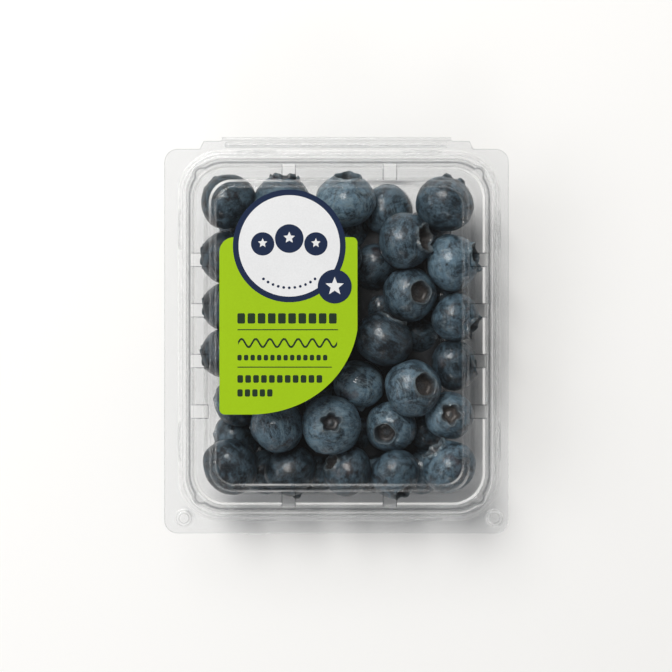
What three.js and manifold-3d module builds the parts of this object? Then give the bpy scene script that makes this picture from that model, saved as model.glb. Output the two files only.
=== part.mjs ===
// A punnet of blueberries: a clear thermoformed tray, a heap of berries in it, and a domed lid
// that shuts over them on a living hinge along the back. Millimetres, +Z up, +Y towards the hinge.
// The origin is the middle of the bounding box, at the height of the surface it stands on.
import * as THREE from "three";
import { mergeVertices } from "three/addons/utils/BufferGeometryUtils.js";
import Module from "manifold-3d";

const wasm = await Module();
wasm.setup();

// Sheet and fits
const SHEET = 0.4; // wall of both halves
const FLANGE_GAP = 0.3; // air between the two flat flanges
const LABEL_GAP = 0.05; // under the label
const LABEL_THICKNESS = 0.2;
const CUT_OVER = 2.0; // how far a cutting body reaches past what it cuts
const MERGE = 1e-4; // points closer than this are one

// Heights
const TRAY_FLANGE = 27.0; // underside of the tray's flange
const LID_FLANGE = TRAY_FLANGE + SHEET + FLANGE_GAP; // underside of the lid's flange
const SEAT = 26.3; // top of the narrow seat round the tray's mouth
const BEAD_TOP = 30.2; // top of the tray's rim bead
const RIM_TOP = 31.2; // top of the lid's rim
const LEDGE = 29.3; // top of the ledge between the lid's rim and dome
const DOME_TOP = 38.0;
const DOME_BAND = 1.1; // height of the sloping band round the dome's top

// Flange: its outline is shared by both halves
const FLANGE_WIDTH = 104.2;
const FLANGE_FRONT = -59.8;
const FLANGE_BACK = 56.5;
const FLANGE_CORNER = 4.0;
const FLANGE_STEPS = 5;
const TAB = { left: -27.7, right: -21.3, reach: 0.3, slope: 0.6 }; // on the front edge
const RING_X = 0.85; // the formed rings sit this far right of the trimmed flange's middle

// Rings, as half width, half depth and corner radius
const RIM_FOOT = { x: 48.5, y: 55.75, corner: 13.0 };
const RIM_SHOULDER = { x: 48.1, y: 55.35, corner: 12.6 };
const RIM_INNER = { x: 45.15, y: 52.2, corner: 10.7 };
const STEP_FOOT = { x: 43.7, y: 50.75, corner: 9.4 };
const DOME_FOOT = { x: 39.1, y: 46.9, corner: 6.8 };
const DOME_SHOULDER = { x: 38.1, y: 45.75, corner: 6.2 };
const DOME_EDGE = { x: 37.35, y: 45.0, corner: 5.8 };
const BEAD_FOOT = { x: 47.7, y: 54.95, corner: 12.2 };
const BEAD_OUTER = { x: 47.3, y: 54.55, corner: 11.8 };
const BEAD_INNER = { x: 46.0, y: 53.25, corner: 10.9 };
const SEAT_OUTER = { x: 44.9, y: 52.0, corner: 10.2 };
const MOUTH = { x: 44.1, y: 51.1, corner: 9.6 }; // inside of the pocket at the seat
const FLOOR = { x: 41.5, y: 48.5, corner: 8.8 }; // inside of the pocket, walls run down to the floor
const FLOOR_ROUND = 4.5; // radius between floor and walls
const FLOOR_STEPS = 4;
const CORNER_STEPS = 6;

// Hinge
const LEAF = { half: 34.7, end: 59.25, slope: 0.6 }; // half length and back edge of each leaf
const SHOULDER = { half: 40.2, end: 58.9, slope: 1.2 }; // the leaf's lower ends
const HINGE_Z = TRAY_FLANGE + SHEET + FLANGE_GAP / 2;
const FILM_OUTER = 0.55;
const FILM_AXIS = 59.55; // the film curls round this line, and the lid turns about it
const FILM_STEPS = 8;
const HINGE_RIB = { y: 57.8, radius: 0.5, half: 33.0 };

// Relief on the rim and flange
const VENT = { width: 3.8, inner: 40.0, outer: 44.8, height: 1.6, endShift: 7.5 }; // in the ledge and the step
const VENT_SIDES = [-22.95, -7.66, 7.66, 22.95]; // along each side wall
const VENT_ENDS = [-15.3, 15.3]; // along the front and back walls
const SNAP = { length: 12.4, radius: 0.5, z: 29.6, out: 0.1, sides: 32.1, ends: 25.0 };
const BAR_CAP_STEPS = 2;
const BAR_SIDES = 8;
const PIP_RADIUS = 2.0;
const PIP_IN = 0.7; // the pip's middle lies this far inside the rim's inner corner arc
const BUTTON = { x: 47.0, y: -55.2, radius: 2.65, height: 1.8 };
const INNER_BUTTON = { radius: 1.85, height: 1.6 }; // the tray's fits inside the lid's
const ROUND_SIDES = 20;

// Berries
const BERRY_GAP = 0.3; // least air between a berry and the pack
const HEAP_TOP = 33.0; // the berries leave a low headspace under the lid
const TOUCH = 0.91; // berries are a little flattened, so their centres come closer than two radii
const SETTLE_STEPS = 400;
const CALM_STEPS = 100; // the last steps only part what still overlaps
const SINK = 0.06; // how far each berry of the low layer drops in one settling step
const HOLD = 0.3; // how strongly a berry of the top layer keeps its place
// Berry profiles from stem end to crown, as radius and height in equator radii: a full one for
// the top layer, and a plainer one for the low layer
const FULL_PROFILE = [
  [0, -0.86], [0.52, -0.74], [0.88, -0.42], [1, 0.0], [0.89, 0.44],
  [0.6, 0.75], [0.42, 0.9], [0.27, 0.68], [0, 0.64],
];
const PLAIN_PROFILE = [[0, -0.86], [0.62, -0.68], [0.96, -0.2], [0.93, 0.32], [0.5, 0.78], [0, 0.66]];
const FULL_SIDES = 10; // two for each of the crown's five points
const PLAIN_SIDES = 8;
const CROWN_POINT = 6; // the point of the full profile that makes the crown's five tips
const CROWN_NOTCH = 0.72; // radius of the notches between the tips, as a share of the tips'

// Top layer, back row to front row: x, y, z, diameter, then where the crown points, as an angle in
// plan from +X and a tilt from straight up, in degrees
const TOP_BERRIES = [
  [-33.0, 40.8, 21.0, 17.4, 135, 122], [-16.4, 40.6, 20.5, 18.0, 85, 94],
  [2.8, 41.0, 21.5, 18.4, 86, 72], [15.6, 38.4, 13.0, 15.8, 200, 150],
  [32.9, 39.9, 20.5, 18.0, 70, 124], [-33.9, 23.8, 20.0, 16.2, 176, 98],
  [-17.4, 24.3, 23.8, 17.0, 40, 60], [-0.5, 23.6, 21.5, 16.6, 300, 30],
  [11.8, 21.0, 14.0, 15.0, 120, 140], [20.9, 28.8, 24.0, 17.6, 8, 54],
  [35.5, 22.2, 21.0, 17.6, 14, 72], [-33.9, 8.9, 19.5, 15.0, 180, 98],
  [-18.2, 8.6, 21.5, 16.8, 250, 40], [-3.0, 7.4, 23.8, 16.8, 60, 100],
  [22.4, 12.6, 21.0, 16.6, 10, 26], [36.2, 5.6, 20.0, 15.4, 332, 70],
  [-34.4, -5.4, 20.0, 15.2, 190, 98], [-19.8, -7.6, 23.6, 17.0, 100, 55],
  [-5.6, -9.0, 17.0, 15.4, 20, 120], [14.2, -1.2, 23.6, 18.0, 64, 84],
  [35.9, -8.9, 18.0, 15.8, 6, 84], [-29.9, -20.0, 17.0, 15.4, 160, 120],
  [6.2, -14.4, 19.0, 16.0, 260, 118], [22.8, -17.0, 24.1, 17.6, 17, 30],
  [-17.8, -27.6, 23.6, 17.2, 200, 125], [-1.5, -27.6, 23.8, 18.2, 90, 7],
  [17.2, -28.8, 18.0, 15.8, 225, 24], [34.0, -24.4, 19.0, 14.8, 60, 6],
  [-32.2, -39.8, 21.0, 17.6, 30, 124], [-14.2, -40.6, 19.0, 16.4, 300, 118],
  [3.2, -40.8, 19.5, 16.0, 150, 58], [17.6, -41.4, 18.5, 15.6, 300, 66],
  [34.2, -39.9, 21.5, 17.0, 130, 76],
];

// Low layer, front row to back row: x, y, diameter. The crowns point every way.
const LOW_BERRIES = [
  [-23.6, -42.0, 13.8], [-5.5, -42.0, 13.6], [10.6, -42.0, 13.2], [26.4, -42.0, 14.0],
  [-29.0, -28.5, 15.4], [-15.0, -26.0, 16.0], [5.0, -26.5, 15.2], [31.0, -27.0, 15.2],
  [-21.0, -11.0, 16.2], [-5.0, -11.0, 16.0], [12.0, -10.0, 15.6], [28.0, -12.0, 16.0],
  [-30.0, 3.0, 15.6], [-13.0, 4.0, 15.6], [2.0, 4.0, 15.2], [20.0, 3.0, 15.8],
  [-22.0, 18.0, 16.2], [-5.0, 18.0, 15.6], [13.0, 12.0, 15.2], [33.0, 12.0, 15.4],
  [-28.0, 33.0, 16.4], [-11.0, 33.0, 16.4], [4.0, 32.0, 15.8], [27.0, 31.0, 15.8],
];
const LOW_Z = 9.0;

// The core that joins the berries: half width, half depth, corner radius, height
const CORE = [
  [23, 31, 8, 6.5], [28, 36, 10, 9.0], [29.5, 37.5, 10, 16.5], [24, 32, 9, 19.5],
];

// Label: a panel with a round badge over its top edge and a small disc on the badge's rim
const PANEL = { left: -35.2, right: 6.3, top: 29.6, bottom: -23.7, corner: 1.6, topLeft: 4.4 };
// The long curve of the lower right corner: its two ends, and the points that pull it
const PANEL_SWEEP = { left: -26.0, right: 1.8, pulls: [[-10.0, -23.7], [3.6, -14.0]] };
const BADGE = { x: -14.2, y: 27.0, radius: 16.95 };
const DISC = { x: -0.55, y: 14.8, radius: 5.1 };
const BADGE_SIDES = 48;
const LABEL_STEPS = 10;

// ---- geometry helpers ----

// A ring of points round a rectangle with round corners, anticlockwise from above.
function ring({ x, y, corner }, z) {
  const points = [];
  for (let quarter = 0; quarter < 4; quarter++) {
    const signX = quarter === 0 || quarter === 3 ? 1 : -1;
    const signY = quarter < 2 ? 1 : -1;
    for (let step = 0; step <= CORNER_STEPS; step++) {
      const angle = (quarter + step / CORNER_STEPS) * (Math.PI / 2);
      points.push(new THREE.Vector3(
        RING_X + signX * (x - corner) + corner * Math.cos(angle),
        signY * (y - corner) + corner * Math.sin(angle),
        z,
      ));
    }
  }
  return points;
}

// The same ring moved outwards, or inwards if the distance is negative.
function grown({ x, y, corner }, distance) {
  return { x: x + distance, y: y + distance, corner: corner + distance };
}

// A closed skin over a stack of rings, its first and last ring closed by flat caps.
function loft(rings) {
  const sides = rings[0].length;
  const positions = [];
  rings.flat().forEach((point) => positions.push(point.x, point.y, point.z));
  const index = [];
  for (let level = 0; level + 1 < rings.length; level++) {
    for (let side = 0; side < sides; side++) {
      const a = level * sides + side;
      const b = level * sides + ((side + 1) % sides);
      index.push(a, b, b + sides, a, b + sides, a + sides);
    }
  }
  const last = (rings.length - 1) * sides;
  for (let side = 1; side + 1 < sides; side++) {
    index.push(0, side + 1, side);
    index.push(last, last + side, last + side + 1);
  }
  const geometry = new THREE.BufferGeometry();
  geometry.setAttribute("position", new THREE.Float32BufferAttribute(positions, 3));
  geometry.setIndex(index);
  return geometry;
}

// A closed geometry as a solid that can be joined and cut.
function solid(geometry) {
  geometry.deleteAttribute("normal");
  geometry.deleteAttribute("uv");
  const merged = mergeVertices(geometry, MERGE);
  return new wasm.Manifold(new wasm.Mesh({
    numProp: 3,
    vertProperties: merged.attributes.position.array,
    triVerts: new Uint32Array(merged.index.array),
  }));
}

function join(solids) {
  return solids.reduce((whole, piece) => whole.add(piece));
}

function mesh(name, body, look) {
  const made = body.getMesh();
  const geometry = new THREE.BufferGeometry();
  const positions = new Float32Array(made.numVert * 3);
  for (let i = 0; i < made.numVert; i++) {
    positions.set(made.vertProperties.subarray(i * made.numProp, i * made.numProp + 3), i * 3);
  }
  geometry.setAttribute("position", new THREE.BufferAttribute(positions, 3));
  geometry.setIndex(new THREE.BufferAttribute(made.triVerts, 1));
  geometry.computeVertexNormals();
  const named = new THREE.Mesh(geometry, new THREE.MeshStandardMaterial(look));
  named.name = name;
  return named;
}

function box(width, depth, height, x, y, z) {
  return solid(new THREE.BoxGeometry(width, depth, height).translate(x, y, z));
}

// An upright cylinder that stands on height z.
function post(radius, height, x, y, z) {
  const cylinder = new THREE.CylinderGeometry(radius, radius, height, ROUND_SIDES);
  return solid(cylinder.rotateX(Math.PI / 2).translate(x, y, z + height / 2));
}

// A bar with round ends that lies along X, or along Y if turned.
function bar(radius, length, x, y, z, turned) {
  const straight = length - 2 * radius;
  const capsule = new THREE.CapsuleGeometry(radius, straight, BAR_CAP_STEPS, BAR_SIDES);
  capsule.rotateZ(Math.PI / 2);
  if (turned) capsule.rotateZ(Math.PI / 2);
  return solid(capsule.translate(x, y, z));
}

// ---- flange, shared by both halves ----

// The outline, anticlockwise: front edge with its tab, sides, and the hinge leaf at the back.
function flangeShape() {
  const side = FLANGE_WIDTH / 2;
  const inset = FLANGE_CORNER;
  const shape = new THREE.Shape();
  shape.moveTo(-side + inset, FLANGE_FRONT);
  shape.lineTo(TAB.left, FLANGE_FRONT);
  shape.lineTo(TAB.left + TAB.slope, FLANGE_FRONT - TAB.reach);
  shape.lineTo(TAB.right - TAB.slope, FLANGE_FRONT - TAB.reach);
  shape.lineTo(TAB.right, FLANGE_FRONT);
  shape.lineTo(side - inset, FLANGE_FRONT);
  shape.absarc(side - inset, FLANGE_FRONT + inset, inset, -Math.PI / 2, 0, false);
  shape.absarc(side - inset, FLANGE_BACK - inset, inset, 0, Math.PI / 2, false);
  shape.lineTo(SHOULDER.half + SHOULDER.slope, FLANGE_BACK);
  shape.lineTo(SHOULDER.half, SHOULDER.end);
  shape.lineTo(LEAF.half + LEAF.slope, SHOULDER.end);
  shape.lineTo(LEAF.half, LEAF.end);
  shape.lineTo(-LEAF.half, LEAF.end);
  shape.lineTo(-LEAF.half - LEAF.slope, SHOULDER.end);
  shape.lineTo(-SHOULDER.half, SHOULDER.end);
  shape.lineTo(-SHOULDER.half - SHOULDER.slope, FLANGE_BACK);
  shape.absarc(-side + inset, FLANGE_BACK - inset, inset, Math.PI / 2, Math.PI, false);
  shape.absarc(-side + inset, FLANGE_FRONT + inset, inset, Math.PI, 1.5 * Math.PI, false);
  return shape;
}

// The flat flange at height z, open in the middle out to the given ring.
function flangePlate(z, opening) {
  const shape = flangeShape();
  const hole = ring(opening, 0).map((point) => new THREE.Vector2(point.x, point.y));
  shape.holes.push(new THREE.Path(hole));
  const options = { depth: SHEET, bevelEnabled: false, curveSegments: FLANGE_STEPS };
  return solid(new THREE.ExtrudeGeometry(shape, options).translate(0, 0, z));
}

// Small round pips bulge out of the step at its four corners, in the lid and, wider, in the tray's
// bead below it. Each is a cup whose floor is at height z, open to the recess.
function withPips(body, radius, z, top, recess) {
  const reach = RIM_INNER.corner - PIP_IN;
  let result = body;
  for (const [signX, signY] of [[1, 1], [-1, 1], [-1, -1], [1, -1]]) {
    const x = RING_X + signX * (RIM_INNER.x - RIM_INNER.corner + reach * Math.SQRT1_2);
    const y = signY * (RIM_INNER.y - RIM_INNER.corner + reach * Math.SQRT1_2);
    const cup = post(radius + SHEET, top - z + SHEET, x, y, z - SHEET);
    const hollow = post(radius, top - z + CUT_OVER, x, y, z);
    result = result.add(cup.subtract(recess)).subtract(hollow);
  }
  return result;
}

// A low round rib along the hinge leaf, on the face at height z: above it, or below if side is -1.
function hingeRib(z, side) {
  const rib = bar(HINGE_RIB.radius, 2 * HINGE_RIB.half, 0, HINGE_RIB.y, z, false);
  const room = 4 * HINGE_RIB.radius;
  const middle = z + side * (room - SHEET) / 2;
  return rib.intersect(box(FLANGE_WIDTH, room, room, 0, HINGE_RIB.y, middle));
}

// ---- tray ----

// Rings from the floor's edge up the pocket wall, for the inner face, or for the outer face if grown.
function pocketRings(offset) {
  const rings = [];
  for (let step = 0; step <= FLOOR_STEPS; step++) {
    const angle = (step / FLOOR_STEPS) * (Math.PI / 2);
    const inset = FLOOR_ROUND * (1 - Math.sin(angle));
    const rise = (FLOOR_ROUND + offset) * (1 - Math.cos(angle));
    const shape = { x: FLOOR.x - inset, y: FLOOR.y - inset, corner: FLOOR.corner - inset };
    const wall = grown(shape, offset * Math.sin(angle));
    rings.push(ring(wall, SHEET - offset + rise));
  }
  rings.push(ring(grown(MOUTH, offset), SEAT - offset));
  return rings;
}

function trayShell() {
  const outside = [
    ...pocketRings(SHEET),
    ring(grown(SEAT_OUTER, SHEET), SEAT - SHEET),
    ring(grown(BEAD_INNER, SHEET), BEAD_TOP - SHEET),
    ring(grown(BEAD_OUTER, -SHEET), BEAD_TOP - SHEET),
    ring(grown(BEAD_FOOT, -SHEET), TRAY_FLANGE),
    ring(BEAD_FOOT, TRAY_FLANGE),
    ring(BEAD_FOOT, TRAY_FLANGE + SHEET),
  ];
  const inside = [
    ring(BEAD_OUTER, BEAD_TOP),
    ring(BEAD_INNER, BEAD_TOP),
    ring(SEAT_OUTER, SEAT),
    ...pocketRings(0).reverse(),
  ];
  return solid(loft([...outside, ...inside]));
}

// A hollow round stud on the flange, open below.
function button(body, x, z, radius, height) {
  const stud = post(radius, height, x, BUTTON.y, z);
  const hollow = post(radius - SHEET, height, x, BUTTON.y, z - SHEET);
  return body.add(stud).subtract(hollow);
}

function buttonPlaces() {
  return [RING_X - BUTTON.x, RING_X + BUTTON.x];
}

function tray() {
  const opening = grown(BEAD_FOOT, -SHEET / 2);
  const mouth = solid(loft([
    ring(SEAT_OUTER, SEAT), ring(BEAD_INNER, BEAD_TOP), ring(BEAD_INNER, BEAD_TOP + CUT_OVER),
  ]));
  const pipFloor = LEDGE - 2 * SHEET;
  let body = withPips(trayShell(), PIP_RADIUS + 2 * SHEET, pipFloor, BEAD_TOP, mouth);
  body = body.add(flangePlate(TRAY_FLANGE, opening));
  for (const x of buttonPlaces()) {
    body = button(body, x, TRAY_FLANGE, INNER_BUTTON.radius, INNER_BUTTON.height);
  }
  return body.add(hingeRib(TRAY_FLANGE, -1));
}

// ---- lid ----

function lidShell() {
  const underside = [
    ring(grown(DOME_EDGE, -SHEET), DOME_TOP - SHEET),
    ring(grown(DOME_SHOULDER, -SHEET), DOME_TOP - SHEET - DOME_BAND),
    ring(grown(DOME_FOOT, -SHEET), LEDGE - SHEET),
    ring(grown(STEP_FOOT, SHEET), LEDGE - SHEET),
    ring(grown(RIM_INNER, SHEET), RIM_TOP - SHEET),
    ring(grown(RIM_SHOULDER, -SHEET), RIM_TOP - SHEET),
    ring(grown(RIM_FOOT, -SHEET), LID_FLANGE),
  ];
  const topside = [
    ring(RIM_FOOT, LID_FLANGE),
    ring(RIM_FOOT, LID_FLANGE + SHEET),
    ring(RIM_SHOULDER, RIM_TOP),
    ring(RIM_INNER, RIM_TOP),
    ring(STEP_FOOT, LEDGE),
    ring(DOME_FOOT, LEDGE),
    ring(DOME_SHOULDER, DOME_TOP - DOME_BAND),
    ring(DOME_EDGE, DOME_TOP),
  ];
  return solid(loft([...underside, ...topside]));
}

// Openings through the ledge and the foot of the step.
function vents() {
  const reach = VENT.outer - VENT.inner;
  const middle = (VENT.outer + VENT.inner) / 2;
  const cuts = [];
  for (const side of [-1, 1]) {
    for (const y of VENT_SIDES) {
      cuts.push(box(reach, VENT.width, VENT.height, RING_X + side * middle, y, LEDGE));
    }
    for (const x of VENT_ENDS) {
      const middleY = side * (middle + VENT.endShift);
      cuts.push(box(VENT.width, reach, VENT.height, RING_X + x, middleY, LEDGE));
    }
  }
  return join(cuts);
}

// Short snap ribs on the outer wall of the rim.
function snaps() {
  const out = (RIM_FOOT.x + RIM_SHOULDER.x) / 2 + SNAP.out;
  const outEnds = out + RIM_FOOT.y - RIM_FOOT.x;
  const ribs = [];
  for (const side of [-1, 1]) {
    for (const along of [-1, 1]) {
      const sideRib = [RING_X + side * out, along * SNAP.sides];
      const endRib = [RING_X + along * SNAP.ends, side * outEnds];
      ribs.push(bar(SNAP.radius, SNAP.length, ...sideRib, SNAP.z, true));
      ribs.push(bar(SNAP.radius, SNAP.length, ...endRib, SNAP.z, false));
    }
  }
  return join(ribs);
}

function lid() {
  const opening = grown(RIM_FOOT, -SHEET / 2);
  const step = solid(loft([
    ring(STEP_FOOT, LEDGE), ring(RIM_INNER, RIM_TOP), ring(RIM_INNER, RIM_TOP + CUT_OVER),
  ]));
  let body = withPips(lidShell(), PIP_RADIUS, LEDGE, RIM_TOP, step).subtract(vents());
  body = body.add(snaps()).add(flangePlate(LID_FLANGE, opening));
  for (const x of buttonPlaces()) {
    body = button(body, x, LID_FLANGE, BUTTON.radius, BUTTON.height);
  }
  return body.add(hingeRib(LID_FLANGE + SHEET, 1));
}

// The living hinge: a strip curled round the fold line, from one leaf's edge to the other's.
function hingeFilm() {
  const shape = new THREE.Shape();
  shape.absarc(0, 0, FILM_OUTER, -Math.PI / 2, Math.PI / 2, false);
  shape.absarc(0, 0, FILM_OUTER - SHEET, Math.PI / 2, -Math.PI / 2, true);
  const options = { depth: 2 * LEAF.half, bevelEnabled: false, curveSegments: FILM_STEPS };
  const strip = new THREE.ExtrudeGeometry(shape, options);
  // The section's x becomes +Y and its y becomes +Z, so the strip runs along X.
  const turn = new THREE.Matrix4().makeBasis(
    new THREE.Vector3(0, 1, 0), new THREE.Vector3(0, 0, 1), new THREE.Vector3(1, 0, 0),
  );
  return solid(strip.applyMatrix4(turn).translate(-LEAF.half, FILM_AXIS, HINGE_Z));
}

// ---- berries ----

// The berries before they settle, those of the top layer first.
function looseBerries() {
  const top = TOP_BERRIES.map(([x, y, z, diameter, plan, tilt]) => ({
    x, y, z, home: { x, y, z }, radius: diameter / 2, plan, tilt,
  }));
  const low = LOW_BERRIES.map(([x, y, diameter], i) => ({
    x, y, z: LOW_Z, home: null, radius: diameter / 2, plan: (137 * i) % 360, tilt: 40 + ((83 * i) % 130),
  }));
  return [...top, ...low];
}

// A berry of the top layer is drawn back to its place, and one of the low layer sinks.
function drawHome(berry, sink) {
  if (!berry.home) {
    berry.z -= sink;
    return;
  }
  berry.x += (berry.home.x - berry.x) * HOLD;
  berry.y += (berry.home.y - berry.y) * HOLD;
  berry.z += (berry.home.z - berry.z) * HOLD;
}

// Two berries that overlap are pushed apart along the line between their centres.
function pushApart(a, b) {
  const dx = b.x - a.x;
  const dy = b.y - a.y;
  const dz = b.z - a.z;
  const distance = Math.sqrt(dx * dx + dy * dy + dz * dz);
  const overlap = (a.radius + b.radius) * TOUCH - distance;
  if (overlap <= 0 || distance === 0) return;
  const push = (0.5 * overlap) / distance;
  a.x -= dx * push;
  a.y -= dy * push;
  a.z -= dz * push;
  b.x += dx * push;
  b.y += dy * push;
  b.z += dz * push;
}

// A berry stays inside the pocket, under the headspace and clear of the edge of the lid's ledge.
function keepInside(berry) {
  const reach = berry.radius + BERRY_GAP;
  berry.z = Math.max(berry.z, SHEET + reach);
  berry.z = Math.min(berry.z, HEAP_TOP - berry.radius);
  const wallFoot = SHEET + FLOOR_ROUND;
  const share = Math.max(0, Math.min((berry.z - wallFoot) / (SEAT - wallFoot), 1));
  const limitX = FLOOR.x + (MOUTH.x - FLOOR.x) * share - reach;
  const limitY = FLOOR.y + (MOUTH.y - FLOOR.y) * share - reach;
  berry.x = RING_X + Math.max(-limitX, Math.min(limitX, berry.x - RING_X));
  berry.y = Math.max(-limitY, Math.min(limitY, berry.y));
  const insideX = DOME_FOOT.x - SHEET - Math.abs(berry.x - RING_X);
  const insideY = DOME_FOOT.y - SHEET - Math.abs(berry.y);
  const nearest = Math.min(insideX, insideY);
  const short = reach * reach - nearest * nearest;
  if (short > 0) berry.z = Math.min(berry.z, LEDGE - SHEET - Math.sqrt(short));
}

function settledBerries() {
  const berries = looseBerries();
  for (let step = 0; step < SETTLE_STEPS; step++) {
    if (step < SETTLE_STEPS - CALM_STEPS) berries.forEach((berry) => drawHome(berry, SINK));
    for (let i = 0; i < berries.length; i++) {
      for (let j = i + 1; j < berries.length; j++) pushApart(berries[i], berries[j]);
    }
    berries.forEach(keepInside);
  }
  return berries;
}

// The crown of a full berry: every other side of its rim is drawn in, which leaves five tips.
function cutCrown(position, levels) {
  for (let side = 1; side < FULL_SIDES; side += 2) {
    const at = side * levels + CROWN_POINT;
    position.setX(at, position.getX(at) * CROWN_NOTCH);
    position.setZ(at, position.getZ(at) * CROWN_NOTCH);
  }
}

// One berry: flattened, with a hollow crown, turned and put in its place.
function berrySolid({ x, y, z, home, radius, plan, tilt }) {
  const shape = home ? FULL_PROFILE : PLAIN_PROFILE;
  const profile = shape.map(([r, h]) => new THREE.Vector2(r * radius, h * radius));
  const geometry = new THREE.LatheGeometry(profile, home ? FULL_SIDES : PLAIN_SIDES);
  if (home) cutCrown(geometry.getAttribute("position"), profile.length);
  geometry.rotateX(Math.PI / 2);
  geometry.rotateY(THREE.MathUtils.degToRad(tilt));
  geometry.rotateZ(THREE.MathUtils.degToRad(plan));
  return solid(geometry.translate(x, y, z));
}

// The heap: every berry joined to the core, with any hollow sealed inside it filled.
function heap() {
  const core = solid(loft(CORE.map(([x, y, corner, z]) => ring({ x, y, corner }, z))));
  const whole = join([core, ...settledBerries().map(berrySolid)]);
  return whole.decompose().reduce((a, b) => (a.volume() > b.volume() ? a : b));
}

// ---- label ----

function panelShape() {
  const { left, right, top, bottom, corner, topLeft } = PANEL;
  const shape = new THREE.Shape();
  shape.moveTo(left + corner, bottom);
  shape.lineTo(PANEL_SWEEP.left, bottom);
  shape.bezierCurveTo(...PANEL_SWEEP.pulls.flat(), right, PANEL_SWEEP.right);
  shape.lineTo(right, top - corner);
  shape.absarc(right - corner, top - corner, corner, 0, Math.PI / 2, false);
  shape.lineTo(left + topLeft, top);
  shape.absarc(left + topLeft, top - topLeft, topLeft, Math.PI / 2, Math.PI, false);
  shape.absarc(left + corner, bottom + corner, corner, Math.PI, 1.5 * Math.PI, false);
  return shape;
}

function label() {
  const z = DOME_TOP + LABEL_GAP;
  const options = { depth: LABEL_THICKNESS, bevelEnabled: false, curveSegments: LABEL_STEPS };
  const panel = solid(new THREE.ExtrudeGeometry(panelShape(), options).translate(0, 0, z));
  const rounds = [BADGE, DISC].map(({ x, y, radius }) => {
    const round = new THREE.CylinderGeometry(radius, radius, LABEL_THICKNESS, BADGE_SIDES);
    return solid(round.rotateX(Math.PI / 2).translate(x, y, z + LABEL_THICKNESS / 2));
  });
  return join([panel, ...rounds]);
}

// ---- the punnet ----

const CLEAR = { color: 0xe6e8ea, roughness: 0.08, metalness: 0, transparent: true, opacity: 0.35 };
const BERRY_BLUE = { color: 0x3f4c58, roughness: 0.6, metalness: 0 };
const LABEL_GREEN = { color: 0x9cc41e, roughness: 0.5, metalness: 0 };

const punnet = new THREE.Group();
const base = new THREE.Group();
base.add(
  mesh("tray", tray(), CLEAR),
  mesh("hinge_film", hingeFilm(), CLEAR),
  mesh("blueberries", heap(), BERRY_BLUE),
);
const cover = new THREE.Group();
cover.add(mesh("lid", lid(), CLEAR), mesh("label", label(), LABEL_GREEN));
punnet.add(base, cover);

export default punnet;
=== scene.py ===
import math

import bmesh
import bpy
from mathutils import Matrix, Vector, noise
from mathutils.geometry import tessellate_polygon
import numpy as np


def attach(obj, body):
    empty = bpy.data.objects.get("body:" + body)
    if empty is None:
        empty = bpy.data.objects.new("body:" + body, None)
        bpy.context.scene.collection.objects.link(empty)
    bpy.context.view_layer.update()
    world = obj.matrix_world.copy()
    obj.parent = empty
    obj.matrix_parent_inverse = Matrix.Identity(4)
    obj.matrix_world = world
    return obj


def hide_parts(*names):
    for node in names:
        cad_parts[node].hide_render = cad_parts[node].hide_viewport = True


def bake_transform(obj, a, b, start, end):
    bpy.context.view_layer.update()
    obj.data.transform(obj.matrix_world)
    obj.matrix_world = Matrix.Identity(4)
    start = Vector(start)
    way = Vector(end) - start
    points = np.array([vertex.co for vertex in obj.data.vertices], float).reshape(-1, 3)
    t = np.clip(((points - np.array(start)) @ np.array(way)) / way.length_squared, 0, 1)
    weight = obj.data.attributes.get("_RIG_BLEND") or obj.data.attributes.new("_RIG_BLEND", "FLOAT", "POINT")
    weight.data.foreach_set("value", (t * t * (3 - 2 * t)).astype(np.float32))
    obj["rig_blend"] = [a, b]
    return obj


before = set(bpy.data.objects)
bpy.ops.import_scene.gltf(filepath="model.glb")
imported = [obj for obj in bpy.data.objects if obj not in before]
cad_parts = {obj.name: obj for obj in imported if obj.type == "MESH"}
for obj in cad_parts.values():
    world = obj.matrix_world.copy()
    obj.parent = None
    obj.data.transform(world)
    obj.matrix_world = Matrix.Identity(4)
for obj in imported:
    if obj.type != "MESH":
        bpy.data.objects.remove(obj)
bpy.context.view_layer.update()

bl_info = {
    "name": "Berry punnet",
    "version": (1, 0, 0),
    "blender": (4, 5, 0),
    "location": "View3D > Sidebar > Punnet",
    "description": "Makes a clear hinged punnet, its berries and its label",
    "category": "Object",
}

# The pack's sizes, in millimetres. A ring is half width, half depth, corner radius and height.
MM = 0.001
RING_X = 0.85
TRAY_TOP = 27.4
LID_TOP = 28.1
SEAT = 26.3
BEAD_TOP = 30.2
RIM_TOP = 31.2
LEDGE = 29.3
DOME_TOP = 38.0
RIM = [(48.5, 55.75, 13.0, LID_TOP), (48.1, 55.35, 12.6, RIM_TOP)]
STEP = [(45.15, 52.2, 10.7, RIM_TOP), (43.7, 50.75, 9.4, LEDGE)]
DOME = [(39.1, 46.9, 6.8, LEDGE), (38.1, 45.75, 6.2, 36.9), (37.35, 45.0, 5.8, DOME_TOP)]
BEAD = [(47.7, 54.95, 12.2, TRAY_TOP), (47.3, 54.55, 11.8, BEAD_TOP), (46.0, 53.25, 10.9, BEAD_TOP)]
MOUTH = [(44.9, 52.0, 10.2, SEAT), (44.1, 51.1, 9.6, SEAT)]
POCKET_FOOT = (41.5, 48.5, 8.8, 4.9)
POCKET_FLOOR = (37.0, 44.0, 4.3, 0.4)
FLANGE = {"side": 52.1, "front": -59.8, "back": 56.5, "corner": 4.0, "steps": 8}
TAB = {"left": -27.7, "right": -21.3, "reach": 0.3, "slope": 0.6}
LEAF = {"half": 34.7, "end": 59.25, "slope": 0.6}
SHOULDER = {"half": 40.2, "end": 58.9, "slope": 1.2}
FILM = {"end": 59.26, "axis": 59.55, "z": 27.55, "radius": 0.35, "thin": 0.35, "steps": 10, "parts": 24}
HINGE_RIB = {"y": 57.8, "half": 33.0, "rise": 0.5}
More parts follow.
